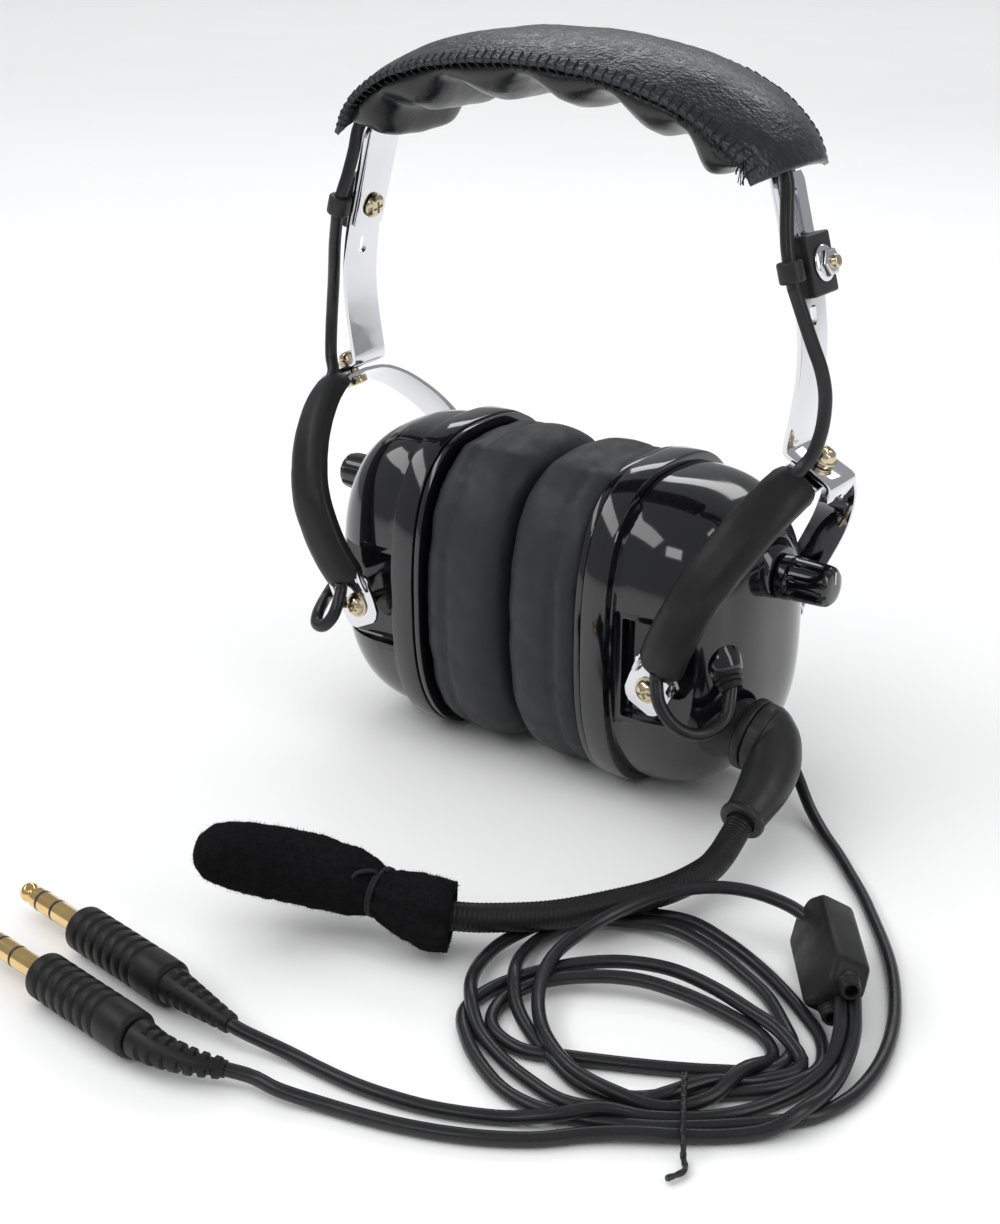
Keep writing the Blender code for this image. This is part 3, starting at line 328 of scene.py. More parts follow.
def route(points, gap, closed=False):
    """Evenly spaced points on a smooth curve through the given ones."""
    knots = [Vector(p) for p in points]
    if closed:
        knots = [knots[-1]] + knots + knots[:2]
    else:
        knots = [knots[0] * 2 - knots[1]] + knots + [knots[-1] * 2 - knots[-2]]
    fine = []
    for a, b, c, d in zip(knots, knots[1:], knots[2:], knots[3:]):
        for k in range(12):
            t = k / 12
            bend = (2 * a - 5 * b + 4 * c - d) * t * t + (3 * b - a - 3 * c + d) * t**3
            fine.append(0.5 * (2 * b + (c - a) * t + bend))
    fine.append(knots[-2])
    path = np.array([tuple(p) for p in fine])
    run = np.r_[0, np.cumsum(np.linalg.norm(np.diff(path, axis=0), axis=1))]
    want = np.linspace(0, run[-1], max(3, round(run[-1] / gap)) + 1)
    out = np.stack([np.interp(want, run, path[:, k]) for k in range(path.shape[1])], 1)
    return [Vector(p) for p in (out[:-1] if closed else out)]


def headings(points):
    """The line's direction at each point."""
    ends = [points[0], *points, points[-1]]
    return [(b - a).normalized() for a, b in zip(ends, ends[2:])]


def tube(name, points, radius, paint, side="left", sides=16, gap=1.5, shape=None, **how):
    """A round tube. shape(distance, angle) gives the radius where it varies."""
    line = route(points, gap)
    ahead = headings(line)
    up = ahead[0].orthogonal().normalized()
    rings = []
    run = 0.0
    for i, (at, way) in enumerate(zip(line, ahead)):
        up = (up - way * up.dot(way)).normalized()
        aside = way.cross(up)
        run += (at - line[i - 1]).length if i else 0.0
        rings.append(ring(at, up, aside, (lambda turn: shape(run, turn)) if shape else radius, sides))
    return loft(name, rings, paint, side, **how)


def strap(name, line, across, widths, thick, paint, side="left", edge=0.35, **how):
    """A flat strip with rounded edges along a line."""
    across = Vector(across)
    rings = []
    for at, way, wide in zip(line, headings(line), widths):
        out = way.cross(across).normalized()
        half, deep = wide / 2, thick / 2
        corner = [(-half, -deep), (half, -deep), (half, deep), (-half, deep)]
        rings.append([at + across * p.x + out * p.y for p in rounded(corner, edge, closed=True)])
    return loft(name, rings, paint, side, **how)


def block(name, size, at, turn, paint, side="left", soften=0.8, **how):
    """A box with rounded edges."""
    bm = bmesh.new()
    bmesh.ops.create_cube(bm, size=1.0)
    for vert in bm.verts:
        vert.co = Vector((vert.co.x * size[0], vert.co.y * size[1], vert.co.z * size[2]))
    bmesh.ops.bevel(bm, geom=bm.edges[:], offset=soften, segments=3, affect="EDGES", profile=0.6)
    verts = [put(Vector(at) + turn @ v.co, side) for v in bm.verts]
    bm.verts.index_update()
    faces = [tuple(v.index for v in f.verts) for f in bm.faces]
    bm.free()
    return piece(name, verts, faces, paint, **how)


def cut(obj, *cutters):
    """Takes each cutter out of obj, then removes the cutters."""
    for cutter in cutters:
        step = obj.modifiers.new("Cut", "BOOLEAN")
        step.operation = "DIFFERENCE"
        step.solver = "EXACT"
        step.object = cutter
    bake(obj)
    for cutter in cutters:
        bpy.data.objects.remove(cutter, do_unlink=True)
    shade(obj.data, 30)
    return obj


def bake(obj):
    """Applies the modifiers."""
    bpy.context.view_layer.update()
    seen = obj.evaluated_get(bpy.context.evaluated_depsgraph_get())
    data = bpy.data.meshes.new_from_object(seen)
    obj.modifiers.clear()
    obj.data = data
    return obj


CLOTH_FRAMES = 20


def inflate(obj, voxel, pressure, cap, held):
    """Fills the piece with air as cloth, pinned where held(point). No point moves further than `cap`."""
    grid = obj.modifiers.new("Remesh", "REMESH")
    grid.mode = "VOXEL"
    grid.voxel_size = voxel * MM
    calm = obj.modifiers.new("Calm", "SMOOTH")
    calm.factor = 0.5
    calm.iterations = 5
    bake(obj)
    start = np.array([v.co for v in obj.data.vertices])
    group = obj.vertex_groups.new(name="held")
    group.add([i for i, p in enumerate(start) if held(p)], 1.0, "REPLACE")
    cloth = obj.modifiers.new("Cloth", "CLOTH")
    cloth.settings.use_pressure = True
    cloth.settings.uniform_pressure_force = pressure
    cloth.settings.effector_weights.gravity = 0
    cloth.settings.quality = 5
    cloth.settings.vertex_group_mass = "held"
    cloth.point_cache.frame_start = 1
    cloth.point_cache.frame_end = CLOTH_FRAMES
    for step in range(1, CLOTH_FRAMES + 1):
        SCENE.frame_set(step)
    seen = obj.evaluated_get(bpy.context.evaluated_depsgraph_get())
    swollen = np.array([v.co for v in seen.data.vertices])
    obj.modifiers.clear()
    SCENE.frame_set(1)
    move = swollen - start
    far = np.linalg.norm(move, axis=1, keepdims=True)
    limit = cap * MM
    move *= np.tanh(far / limit) * limit / np.maximum(far, 1e-9)
    obj.data.vertices.foreach_set("co", (start + move).ravel())
    smooth = obj.modifiers.new("Subdivide", "SUBSURF")
    smooth.levels = smooth.render_levels = 1
    bake(obj)
    shade(obj.data)
    return obj


# ---------------------------------------------------------------- ear cups

PIVOT = Vector((58.5, 0, 47.0))
LEAN = math.atan2(34.0, 70.0)
UP = Vector((math.sin(LEAN), 0, math.cos(LEAN)))
OUT = Vector((math.cos(LEAN), 0, -math.sin(LEAN)))
MIDDLE_Z = 54.27
RIM_Y, RIM_Z = 40.5, 54.27
OBLONG = 2.7
DOME_STEPS = 33
CABLE_RADIUS, CORD_RADIUS = 2.1, 1.9
KNOB = Vector((80.2, 3.4, 76.4))
GROMMET = Vector((75.5, -22.6, 52.6))
GROMMET_WAY = Vector((0.62, -0.30, -0.72)).normalized()


def outline(x, half_y, half_z, points=112):
    """The cup's rounded oblong in a plane across X."""
    out = []
    for k in range(points):
        angle = 2 * math.pi * (k + 0.5) / points
        c, s = math.cos(angle), math.sin(angle)
        reach = (abs(c) ** OBLONG + abs(s) ** OBLONG) ** (-1 / OBLONG)
        out.append(Vector((x, half_y * c * reach, MIDDLE_Z + half_z * s * reach)))
    return out


def band(section, half_y, half_z, points=112):
    """Rings of the cup's outline, from pairs of a place along X and a distance in from the outline."""
    return [outline(p.x, half_y - p.y, half_z - p.y, points=points) for p in section]


def cup(side):
    flange = rounded([(33.6, 3.0), (33.7, 0.0), (42.7, 0.0), (42.8, 3.2)], 0.9)
    rings = band(flange, RIM_Y, RIM_Z)
    for k in range(DOME_STEPS):
        turn = math.radians(89.6) * k / (DOME_STEPS - 1)
        along = math.sin(turn) ** (2 / 2.8)
        shrink = math.cos(turn) ** (2 / 2.8)
        rings.append(outline(43.2 + 37.5 * along, 37.0 * shrink, 51.6 * shrink))
    hollow = numbers("78 4 6, 74 22 36, 62 27.5 47, 44 28.4 48.8, 40.6 37 50.8, 33.6 37.3 51.1")
    inner = [outline(*place) for place in hollow]
    shell = loft(f"{side}_shell", inner + rings, GLOSS, side)
    cutters = []
    for y in (-1, 1):
        for name, size, deep in (("frame", (36.0, 12.0, 38.0), 41.2), ("pocket", (31.0, 12.0, 33.0), 37.0)):
            cutters.append(block(f"{name}_{y}", size, (61.5, y * deep, 50.0), Matrix.Identity(3), GLOSS,
                                 side, 1.0))
    cut(shell, *cutters)
    dress(shell, f"{side}_cup", f"{side}_cup_shell")
    turned(f"{side}_knob_boss", numbers("0 79.9, 9 79.9, 12 76.8, 12.6 74, 12.6 68, 0 68"),
           (0, KNOB.y, KNOB.z), (1, 0, 0), GLOSS, side, 72, 0.7, body=f"{side}_cup")
    plate = rounded([(31.2, 0.9), (31.25, 0.6), (33.35, 0.6), (33.4, 22.0), (31.2, 22.0)], 0.45, closed=True)
    loft(f"{side}_plate", band(plate, RIM_Y, RIM_Z), GLOSS, side, looped=True, body=f"{side}_cup",
         stands_for=f"{side}_seal_plate")


SEAL = numbers("31 1.6, 28.6 0.3, 25.6 0, 23 0.5, 20.6 0.6, 17.6 -0.1, 13 -0.4, 8 0, 4.4 1.6, 1.6 4.6, "
               "0.35 8.4, 0.25 13, 2.4 17.6, 7 19.8, 14 20.4, 24 20.4, 31 20")
SEAM_X = 21.4


def seal_mesh():
    """The left seal, swollen, with its seam groove, puckers and slack."""
    section = [Vector((p.x, p.y)) for p in route([(x, y, 0) for x, y in SEAL], 1.3)]
    rings = band(section, 39.2, 53.0, points=150)
    ring = loft("seal_shape", rings, VINYL, looped=True)
    start = put((31.0, 0, 0)).x
    inflate(ring, 4.0, 4.0, 1.6, held=lambda p: p[0] > start - 0.0018)
    data = ring.data.copy()
    bpy.data.objects.remove(ring, do_unlink=True)
    middle = put((0, 0, MIDDLE_Z))
    face = put((0, 0, 0)).x
    for vert in data.vertices:
        p = vert.co
        x = (p.x - face) / MM
        away = Vector((0, p.y - middle.y, p.z - middle.z))
        outer = (abs(away.y) / (27 * MM)) ** OBLONG + (abs(away.z) / (41 * MM)) ** OBLONG > 1
        turn = math.atan2(away.z, away.y)
        if outer and away.length:
            groove = 1.1 * math.exp(-(((x - SEAM_X) / 1.25) ** 2))
            near = math.exp(-(((x - SEAM_X) / 4.5) ** 2))
            pucker = 0.12 * near * math.sin(44 * turn + 3 * noise.noise(p * 120))
            slack = 0.5 * noise.noise(Vector((turn * 7, x * 0.11, 3))) + 0.22 * noise.noise(p * 160)
            p -= away.normalized() * (groove - pucker - slack) * MM
        p.x = max(p.x, face + 0.2 * MM)
    return data


def seals():
    data = seal_mesh()
    middle = put((0, 0, 0)).x
    for side in SIDES:
        mine = data.copy()
        if side == "right":
            for vert in mine.vertices:
                vert.co.x = 2 * middle - vert.co.x
            mine.flip_normals()
        seal = finish_piece(f"{side}_seal", mine, VINYL, f"{side}_cup", f"{side}_ear_seal", 60)
        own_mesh(seal)


def cross_head(name, profile, at, ahead, top, size, paint, side, spin, **how):
    """A turned screw with a cross recess cut in its head."""
    screw = turned(name, profile, at, ahead, paint, side, 40, 0.25)
    basis = Matrix(axes(ahead)).transposed()
    turned_basis = basis @ Matrix.Rotation(spin, 3, "Z")
    centre = Vector(at) + basis.col[2] * top
    arms = ((size, size * 0.22, 2.4), (size * 0.22, size, 2.4))
    tools = [block(f"{name}_{k}", arm, centre, turned_basis, paint, side, 0.12) for k, arm in enumerate(arms)]
    cut(screw, *tools)
    return dress(screw, **how)


def cup_hardware(side):
    for end, y in (("front", -1), ("back", 1)):
        head = numbers("0 42.4, 1.7 42.25, 2.9 41.5, 3.55 40.3, 3.55 40.1, 4.3 40.05, 4.3 39.5, 2 39.4, "
                       "2 30, 0 30")
        cross_head(f"{side}_pivot_{end}", head, PIVOT, (0, y, 0), 42.6, 4.3, NICKEL, side, 0.4,
                   body=f"{side}_cup", stands_for=f"{side}_pivot_screw_{end}")
    turned(f"{side}_grommet", numbers("2.3 7, 3.5 7, 4.4 5.4, 3.8 4.7, 4.7 3.9, 4.1 3.1, 5.1 2.2, 5.6 -3, "
                                      "2.3 -3"), GROMMET, GROMMET_WAY, RUBBER, side, 40, 0.3,
           body=f"{side}_cup", stands_for=f"{side}_cable_grommet")
    turned(f"{side}_hood", [(4.9, 2.2), (5.8, 1.2), (6.6, -2.0), (7.0, -8.0), (4.9, -8.0)], GROMMET,
           GROMMET_WAY, GLOSS, side, 48, 0.6, body=f"{side}_cup")


def knob(side):
    def fluted(turn, radius, height):
        """Nine flutes in the grip, which fade out at its foot."""
        if not (4.6 < height < 17.4 and radius > 4.0):
            return radius
        rise = min(1.0, (height - 4.6) / 1.6)
        return radius - 0.85 * rise * max(0.0, math.cos(9 * turn)) ** 3

    profile = numbers("0 18, 3.2 17.9, 5.2 17.5, 6.3 16.4, 6.6 14.5, 6.7 11, 6.8 7.5, 6.85 5.4, 6.9 4.4, "
                      "7.25 3.6, 7.3 0.8, 6.9 0.05, 2.9 0, 2.9 -14, 0 -14")
    turned(f"{side}_knob", profile, KNOB, (1, 0, 0), GLOSS, side, 144, 0.35, fluted, body=f"{side}_dial",
           stands_for=f"{side}_volume_knob")
    # A thin bar for the pointer line, sunk in the knob's end.
    verts = [put((98.24, KNOB.y + y, KNOB.z + z), side) for y,
             z in ((-0.35, 1.2), (0.35, 1.2), (0.35, 5.0), (-0.35, 5.0))]
    verts += [v - Vector(put((0.25, 0, 0), side) - put((0, 0, 0), side)) for v in verts]
    box = [(0, 1, 2, 3), (4, 5, 6, 7), (0, 1, 5, 4), (1, 2, 6, 5), (2, 3, 7, 6), (3, 0, 4, 7)]
    piece(f"{side}_pointer", verts, box, WHITE, body=f"{side}_dial")


# ---------------------------------------------------------------- yokes and hangers

YOKE_HALF = numbers("38.6 -7.5, 38.6 0, 38.8 7, 40 12, 41.6 18, 42.4 24, 42.4 30, 41.8 37, 39.8 43.5, "
                    "36.4 50, 32 56.5, 26 63, 18.5 69, 9.5 73.2, 0 74.2")
PIVOT_PLATE = numbers("-7.6 8, -6.6 11.5, -4.6 14.4, 0 15.5, 5.2 15.5, 6.4 17.2, 7.4 17, 9.6 12.5, 90 12.5")


def on_yoke(point):
    """From the yoke's own frame, which leans outward about the tilt axis."""
    return PIVOT + OUT * point[0] + Vector((0, point[1], 0)) + UP * point[2]


def half_hoop(gap):
    return route([(0, -y, z) for y, z in YOKE_HALF], gap)


def yoke(side):
    front = half_hoop(1.0)
    line = front + [Vector((0, -p.y, p.z)) for p in front[-2::-1]]
    rises, wides = zip(*PIVOT_PLATE)
    widths = [float(np.interp(p.z, rises, wides)) for p in line]
    strap(f"{side}_hoop", [on_yoke(p) for p in line], OUT, widths, 1.4, CHROME, side, 0.3,
          body=f"{side}_bail", stands_for=f"{side}_yoke")
    for y in (-1, 1):
        for x in (-6.6, 6.6):
            fold = [on_yoke((x, y * (38.4 + t * 2.2), z)) for t,
                    z in ((0, 3.5), (1, 4.0), (1, 10.5), (0, 12.0))]
            strap(f"{side}_fold_{y}_{x}".replace("-", "m").replace(".", "_"), route(fold, 0.7), OUT,
                  [1.5] * 99, 1.0, CHROME, side, 0.3, body=f"{side}_bail")


def sleeve(side):
    shape = numbers("-7 -1.6, 0 -1.75, 7 -1.6, 7.6 -0.3, 7.3 1.8, 5.4 3.5, 2.6 4.5, -2.6 4.5, -5.4 3.5, "
                    "-7.3 1.8, -7.6 -0.3")
    section = [(p.x, p.y) for p in route([(x, y, 0) for x, y in shape], 0.9, closed=True)]
    line = [p for p in half_hoop(1.2) if (p.y < -9.6 or p.z < 40) and p.z > 9.0]
    rings = []
    for i, (at, way) in enumerate(zip(line, headings(line))):
        out = way.cross(Vector((1, 0, 0))).normalized()
        if (out.y > 0) if at.z < 60 else (out.z < 0):
            out = -out
        end = min(i, len(line) - 1 - i)
        pinch = 1.0 - 0.05 * max(0, 2 - end) + 0.018 * noise.noise(Vector((at.y, at.z, 0)) * 0.25)
        rings.append([on_yoke(at + Vector((x * pinch, 0, 0)) + out * (h * pinch)) for x, h in section])
    loft(f"{side}_sleeve", rings, RUBBER, side, body=f"{side}_bail", stands_for=f"{side}_yoke_sleeve")


CLAMP = Vector((83.1, 0.0, 174.5))
SLOPE = math.atan2(7.1, 25.5)
DOWN = Vector((math.sin(SLOPE), 0, -math.cos(SLOPE)))
OFF = Vector((math.cos(SLOPE), 0, math.sin(SLOPE)))
CLAMP_TURN = Matrix.Rotation(-SLOPE, 3, "Y")


def along_strap(distance, off=0.0):
    return CLAMP + DOWN * distance + OFF * off


GUIDE = along_strap(0, 2.2) + Vector((0, -11.9, 0))


def foot_point(s, rise=76.5):
    """A point over the yoke's crown, s outward from its middle."""
    return PIVOT + UP * rise + OUT * s


def hanger(side):
    straight = [along_strap(d) for d in (-27.0, -12.0, 0.0, 7.0)]
    bend = numbers("86.6 0 158, 87.3 0 150, 87.1 0 142, 86.2 0 134, 85.1 0 127, 84.3 0 122.4")
    line = route(straight + bend, 1.2)
    line += route([line[-1] + Vector((-0.1, 0, -1.0)), (84.3, 0, 120.4), (84.9, 0, 119.5),
                   foot_point(-5.0)], 0.5)
    line += [foot_point(s) for s in (-3, 0, 3, 6, 7.2)]
    line += route([foot_point(8.3, 76.2), foot_point(9.1, 75.2), foot_point(9.2, 73.5),
                   foot_point(9.2, 70.6)], 0.5)
    widths = [16.0] * len(line)
    for k in range(6):
        widths[-1 - k] = 12.0 + 4.0 * min(1.0, k / 5)
        widths[k] = 13.4 + 2.6 * min(1.0, k / 2)
    body = strap(f"{side}_strap", line, (0, 1, 0), widths, 1.6, CHROME, side, 0.3)
    slot = block(f"{side}_slot", (8, 4.9, 25.4), along_strap(-10.0), CLAMP_TURN, CHROME, side, 2.2)
    oval = block(f"{side}_oval", (8, 3.4, 6.0), (87.0, 0, 160.5), CLAMP_TURN, CHROME, side, 1.6)
    notch = block(f"{side}_notch", (3, 4.4, 3.0), foot_point(9.2, 70.6), Matrix.Rotation(LEAN, 3, "Y"),
                  CHROME, side, 0.5)
    cut(body, slot, oval, notch)
    dress(body, f"{side}_slider", f"{side}_hanger")
    head = numbers("0 82.5, 1.8 82.35, 3 81.7, 3.6 80.5, 3.6 79.7, 4.5 79.6, 4.5 78.9, 4.2 78.8, 4.2 78.3, "
                   "3.9 78.2, 3.9 77.6, 2 77.5, 2 73, 3.6 72.9, 3.6 70.6, 2.4 70.2, 0 70.2")
    cross_head(f"{side}_foot_screw", head, PIVOT, UP, 82.8, 4.2, NICKEL, side, 0.5, body=f"{side}_slider",
               stands_for=f"{side}_swivel_screw")


def clamp(side):
    block(f"{side}_block", (5.0, 13.6, 18.0), along_strap(0, 3.7), CLAMP_TURN, SATIN, side, 1.0,
          body="headband", stands_for=f"{side}_clamp_block")
    turned(f"{side}_nut", [(2.1, 9.9), (3.9, 9.8), (4.3, 9.2), (4.3, 7.5), (2.1, 7.4)], CLAMP, OFF, CHROME,
           side, 6, 0.35, body="headband", stands_for=f"{side}_clamp_nut", smooth=20)
    turned(f"{side}_nut_flange", [(2.1, 7.7), (4.4, 7.6), (5.4, 7.0), (5.4, 6.4), (2.1, 6.3)], CLAMP, OFF,
           CHROME, side, 48, 0.25, body="headband")
    stud = numbers("0 11.6, 1.5 11.6, 2 11.2, 2 -2.8, 4.3 -2.9, 4.1 -3.8, 2.9 -4.8, 0 -5.2")
    cross_head(f"{side}_stud", stud, CLAMP, OFF, -5.4, 4.4, NICKEL, side, 0.3, body="headband",
               stands_for=f"{side}_clamp_screw")
    turned(f"{side}_guide", numbers("2.2 3.2, 3.5 3.2, 3.9 2.6, 3.9 -2.6, 3.5 -3.2, 2.2 -3.2"), GUIDE,
           -DOWN, SATIN, side, 40, 0.35, body="headband", stands_for=f"{side}_cable_guide")
    strap(f"{side}_guide_arm", [along_strap(0, 2.2) + Vector((0, y, 0)) for y in (-8.4, -7.0, -6.0)], DOWN,
          [5.0] * 3, 2.4, SATIN, side, 0.5, body="headband")


def spring():
    side = [along_strap(d, -1.75) for d in (7.0, -6.0, -18.0, -26.0)]
    arch = numbers("71.9 0 205.9, 67 0 211.5, 59.5 0 216.5, 49.6 0 220.6, 35.8 0 224.9, 18 0 227.5")
    half = side + [Vector(p) for p in arch]
    line = route(half + [(0, 0, 228.4)] + [Vector((-p[0], p[1], p[2])) for p in half[::-1]], 2.0)
    strap("spring", line, (0, 1, 0), [14.0] * len(line), 1.2, CHROME, edge=0.3, body="headband",
          stands_for="headband_spring")


# ---------------------------------------------------------------- pad

PAD_HALF = numbers("0 237.1, 25.5 235.4, 45 231.4, 60 225.8, 71 219, 78.6 211.8, 83.5 204.5")
PAD_LINE = route([(-x, 0, z) for x, z in PAD_HALF[:0:-1]] + [(x, 0, z) for x, z in PAD_HALF], 1.0)


def pad_at(share, y, depth):
    """A point of the pad, from the share of the way to an end, the distance across and the depth below its
    top line. The pad's half width there comes with it."""
    place = (share + 1) / 2 * (len(PAD_LINE) - 1)
    k = max(0, min(int(place), len(PAD_LINE) - 2))
    here = PAD_LINE[k].lerp(PAD_LINE[k + 1], place - k)
    ahead = (PAD_LINE[k + 1] - PAD_LINE[k]).normalized()
    half = 30.0 - 8.0 * abs(share) ** 3
    across = y / half
    at = here + Vector((ahead.z, 0, -ahead.x)) * (6.5 * across * across + depth)
    return Vector((at.x, y, at.z)), half


def pillow(share, across):
    """How deep the six pillows hang, with sewn valleys between them."""
    rise = abs(math.sin(3 * math.pi * (share + 1))) ** 0.42
    full = 21.5 + 2.5 * max(0.0, min(1.0, (abs(share) - 0.45) / 0.3))
    close = max(0.0, 1 - (max(0.0, abs(share) - 0.8) / 0.132) ** 2.4) ** 0.5
    bulge = max(0.0, 1 - abs(across) ** 3.2) ** 0.5
    deep = (full - 3.2 - 14.5 * (1 - rise)) * bulge * (1 - 0.25 * (1 - rise)) * close
    return 3.2 + deep - 2.9 * across * across


PILLOW_GRID, PILLOW_REACH, PILLOW_TRIM = (110, 36), 0.93, 1.1
COVER_GRID = (200, 56)


def sheet_grid(rows, cols, reach, depth, trim):
    """Points over the pad out to `reach` of its ends, `trim` in from its sides, at depth(share, across)."""
    points = []
    for i in range(rows + 1):
        share = -reach + 2 * reach * i / rows
        half = pad_at(share, 0, 0)[1] - trim
        for k in range(cols + 1):
            across = math.sin(math.pi / 2 * (2 * k / cols - 1))
            points.append(pad_at(share, half * across, depth(share, across))[0])
    return points


def slab(name, rows, cols, top, bottom, paint, **how):
    """A closed piece from two grids and the rim between them."""
    count = (rows + 1) * (cols + 1)
    at = lambda i, k: i * (cols + 1) + k
    faces = []
    for i in range(rows):
        for k in range(cols):
            quad = (at(i, k), at(i + 1, k), at(i + 1, k + 1), at(i, k + 1))
            faces += [quad, tuple(count + j for j in reversed(quad))]
    rim = [at(0, k) for k in range(cols + 1)] + [at(i, cols) for i in range(1, rows + 1)]
    rim += [at(rows, k) for k in range(cols - 1, -1, -1)] + [at(i, 0) for i in range(rows - 1, 0, -1)]
    for a, b in zip(rim, rim[1:] + rim[:1]):
        faces.append((a, b, count + b, count + a))
    return piece(name, [put(p) for p in top + bottom], faces, paint, smooth=180, **how)


def cover_depth(share, across):
    """How far the leather lies under the pad's top line, with creases, ripples and a pull at each stitch."""
    creases = 0.5 * (1 - abs(math.sin(3 * math.pi * (share + 1))) ** 0.35) * (1 - across * across)
    ripple = 0.45 * noise.noise(Vector((share * 6, across * 2.2, 1)))
    ripple += 0.16 * noise.noise(Vector((share * 30, across * 7, 4)))
    edge = max(0.0, (abs(across) - 0.9) / 0.1)
    pull = 0.35 * edge * math.sin(share * 210)
    return 0.55 + creases + ripple * 0.8 + pull * 0.5


def pad():
    top = sheet_grid(*COVER_GRID, 1.0, cover_depth, 0.3)
    bottom = sheet_grid(*COVER_GRID, 1.0, lambda s, a: cover_depth(s, a) + 1.9, 0.5)
    cover = slab("pad_skin", *COVER_GRID, top, bottom, LEATHER, body="headband", stands_for="pad_cover")
    above = lambda s, a: 2.9 + 1.2 * abs(a) ** 8
    upper = sheet_grid(*PILLOW_GRID, PILLOW_REACH, above, PILLOW_TRIM)
    lower = sheet_grid(*PILLOW_GRID, PILLOW_REACH, lambda s, a: max(pillow(s, a), above(s, a) + 2.2),
                       PILLOW_TRIM)
    pillows = slab("pad_pillows", *PILLOW_GRID, upper, lower, CUSHION)
    tree = KDTree(len(upper))
    for i, p in enumerate(upper):
        tree.insert(put(p), i)
    tree.balance()
    inflate(pillows, 2.8, 5.0, 2.2, held=lambda p: tree.find(Vector(p))[2] < 2.2 * MM)
    for vert in pillows.data.vertices:
        vert.co += Vector((0, 0, 1)) * 0.5 * MM * noise.noise(vert.co * 110)
    dress(pillows, "headband", "pad_cushion")
    stitches()


def stitches():
    """Whip stitches over both long edges, and one loose tuft."""
    verts, faces = [], []
    sides, count = 5, 54

    def thread(points, thick):
        base = len(verts)
        line = route(points, 0.45)
        for at, way in zip(line, headings(line)):
            up = way.orthogonal().normalized()
            verts.extend(put(p) for p in ring(at, up, way.cross(up), thick, sides))
        for i in range(len(line) - 1):
            for k in range(sides):
                a, b = base + i * sides + k, base + i * sides + (k + 1) % sides
                faces.append((a, b, b + sides, a + sides))
        faces.append(tuple(range(base, base + sides)))
        faces.append(tuple(range(len(verts) - sides, len(verts))))

    picker = random.Random(7)
    for flip in (-1, 1):
        for k in range(count):
            share = -0.965 + 1.93 * k / (count - 1) + picker.uniform(-0.002, 0.002)
            half = pad_at(share, 0, 0)[1]
            lean = 0.011
            a = pad_at(share - lean, flip * (half - 3.6), -0.15 + cover_depth(share, 0.93))[0]
            b = pad_at(share, flip * (half + 0.1), 0.6)[0]
            c = pad_at(share + lean, flip * (half + 0.2), 2.4)[0]
            d = pad_at(share + lean * 1.6, flip * (half - 1.0), 4.4)[0]
            thread([a, b, c, d], 0.29)
    for k in range(9):
        root = pad_at(0.93, -22.0, 1.0)[0]
        tip = root + Vector((picker.uniform(0, 3), picker.uniform(-4, -1), picker.uniform(-6, 1)))
        thread([root, root.lerp(tip, 0.5) + Vector((0, -0.8, 0.8)), tip], 0.16)
    piece("pad_stitches", verts, faces, THREAD, body="headband")


# ---------------------------------------------------------------- cables on the headset

GROMMET_END = GROMMET + GROMMET_WAY * 5.6
LOOM_TOP = numbers("0 -6 231.6, 18 -6 230.7, 36.4 -6 228, 50.8 -6 223.5, 61.3 -6 218.9, 69.6 -6 213.6, "
                   "75.2 -6.2 207.5, 79.7 -7.4 200.5, 81 -8.6 193, 82.6 -10.6 184.5")
LOOPS = {"left": [(63.4, -42.3, 55.0), (63.6, -42.6, 52.5), (66.0, -44.5, 46.6), (70.2, -44.0, 40.9),
                  (74.6, -40.5, 37.2), (78.2, -35.5, 36.8), (80.8, -29.6, 40.4), tuple(GROMMET_END)],
         "right": [(62.8, -42.2, 55.0), (62.6, -42.6, 52.5), (61.6, -45.2, 49.6), (61.8, -48.0, 45.0),
                   (64.6, -49.6, 41.2), (68.8, -48.6, 40.6), (72.0, -44.4, 42.0), (76.0, -37.5, 42.6),
                   (80.2, -30.2, 42.4), tuple(GROMMET_END)],}


def looms():
    """The cable over the band, and on each side one run down to the yoke and one loop into the cup."""
    half = [Vector(p) for p in LOOM_TOP] + [GUIDE - DOWN * 3, GUIDE + DOWN * 4.7]
    whole = [Vector((-p.x, p.y, p.z)) for p in half[:0:-1]] + half
    tube("loom", whole, CABLE_RADIUS, CORD, sides=20, gap=2.0, body="headband", stands_for="headband_cable")
    for side in SIDES:
        top = foot_point(0.0, 74.4)
        line = [GUIDE + DOWN * 4.5, (89.2, -10.2, 162.0), (91.6, -8.2, 154.0), (94.0, -6.2, 146.0),
                (95.4, -5.6, 138.0), (95.4, -6.6, 129.0), (94.0, -8.6, 121.5),
                (top.x + 0.6, -10.4, top.z + 3.4), (top.x - 0.6, -13.0, top.z + 0.6)]
        whole = route(line, 1.5)
        joint = min(range(len(whole)), key=lambda i: abs(whole[i].z - 133.0))
        down = tube(f"{side}_downrun", whole[joint - 1:], CABLE_RADIUS, CORD, side, 20, 1.5,
                    stands_for=f"{side}_hanger_cable")
        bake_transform(down)
        bow = tube(f"{side}_bow", whole[:joint + 1], CABLE_RADIUS, CORD, side, 20, 1.5)
        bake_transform(bow)
        loop = tube(f"{side}_loop", LOOPS[side], CABLE_RADIUS, CORD, side, 20, 1.0,
                    stands_for=f"{side}_cable_loop")
        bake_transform(loop)


# ---------------------------------------------------------------- boom microphone

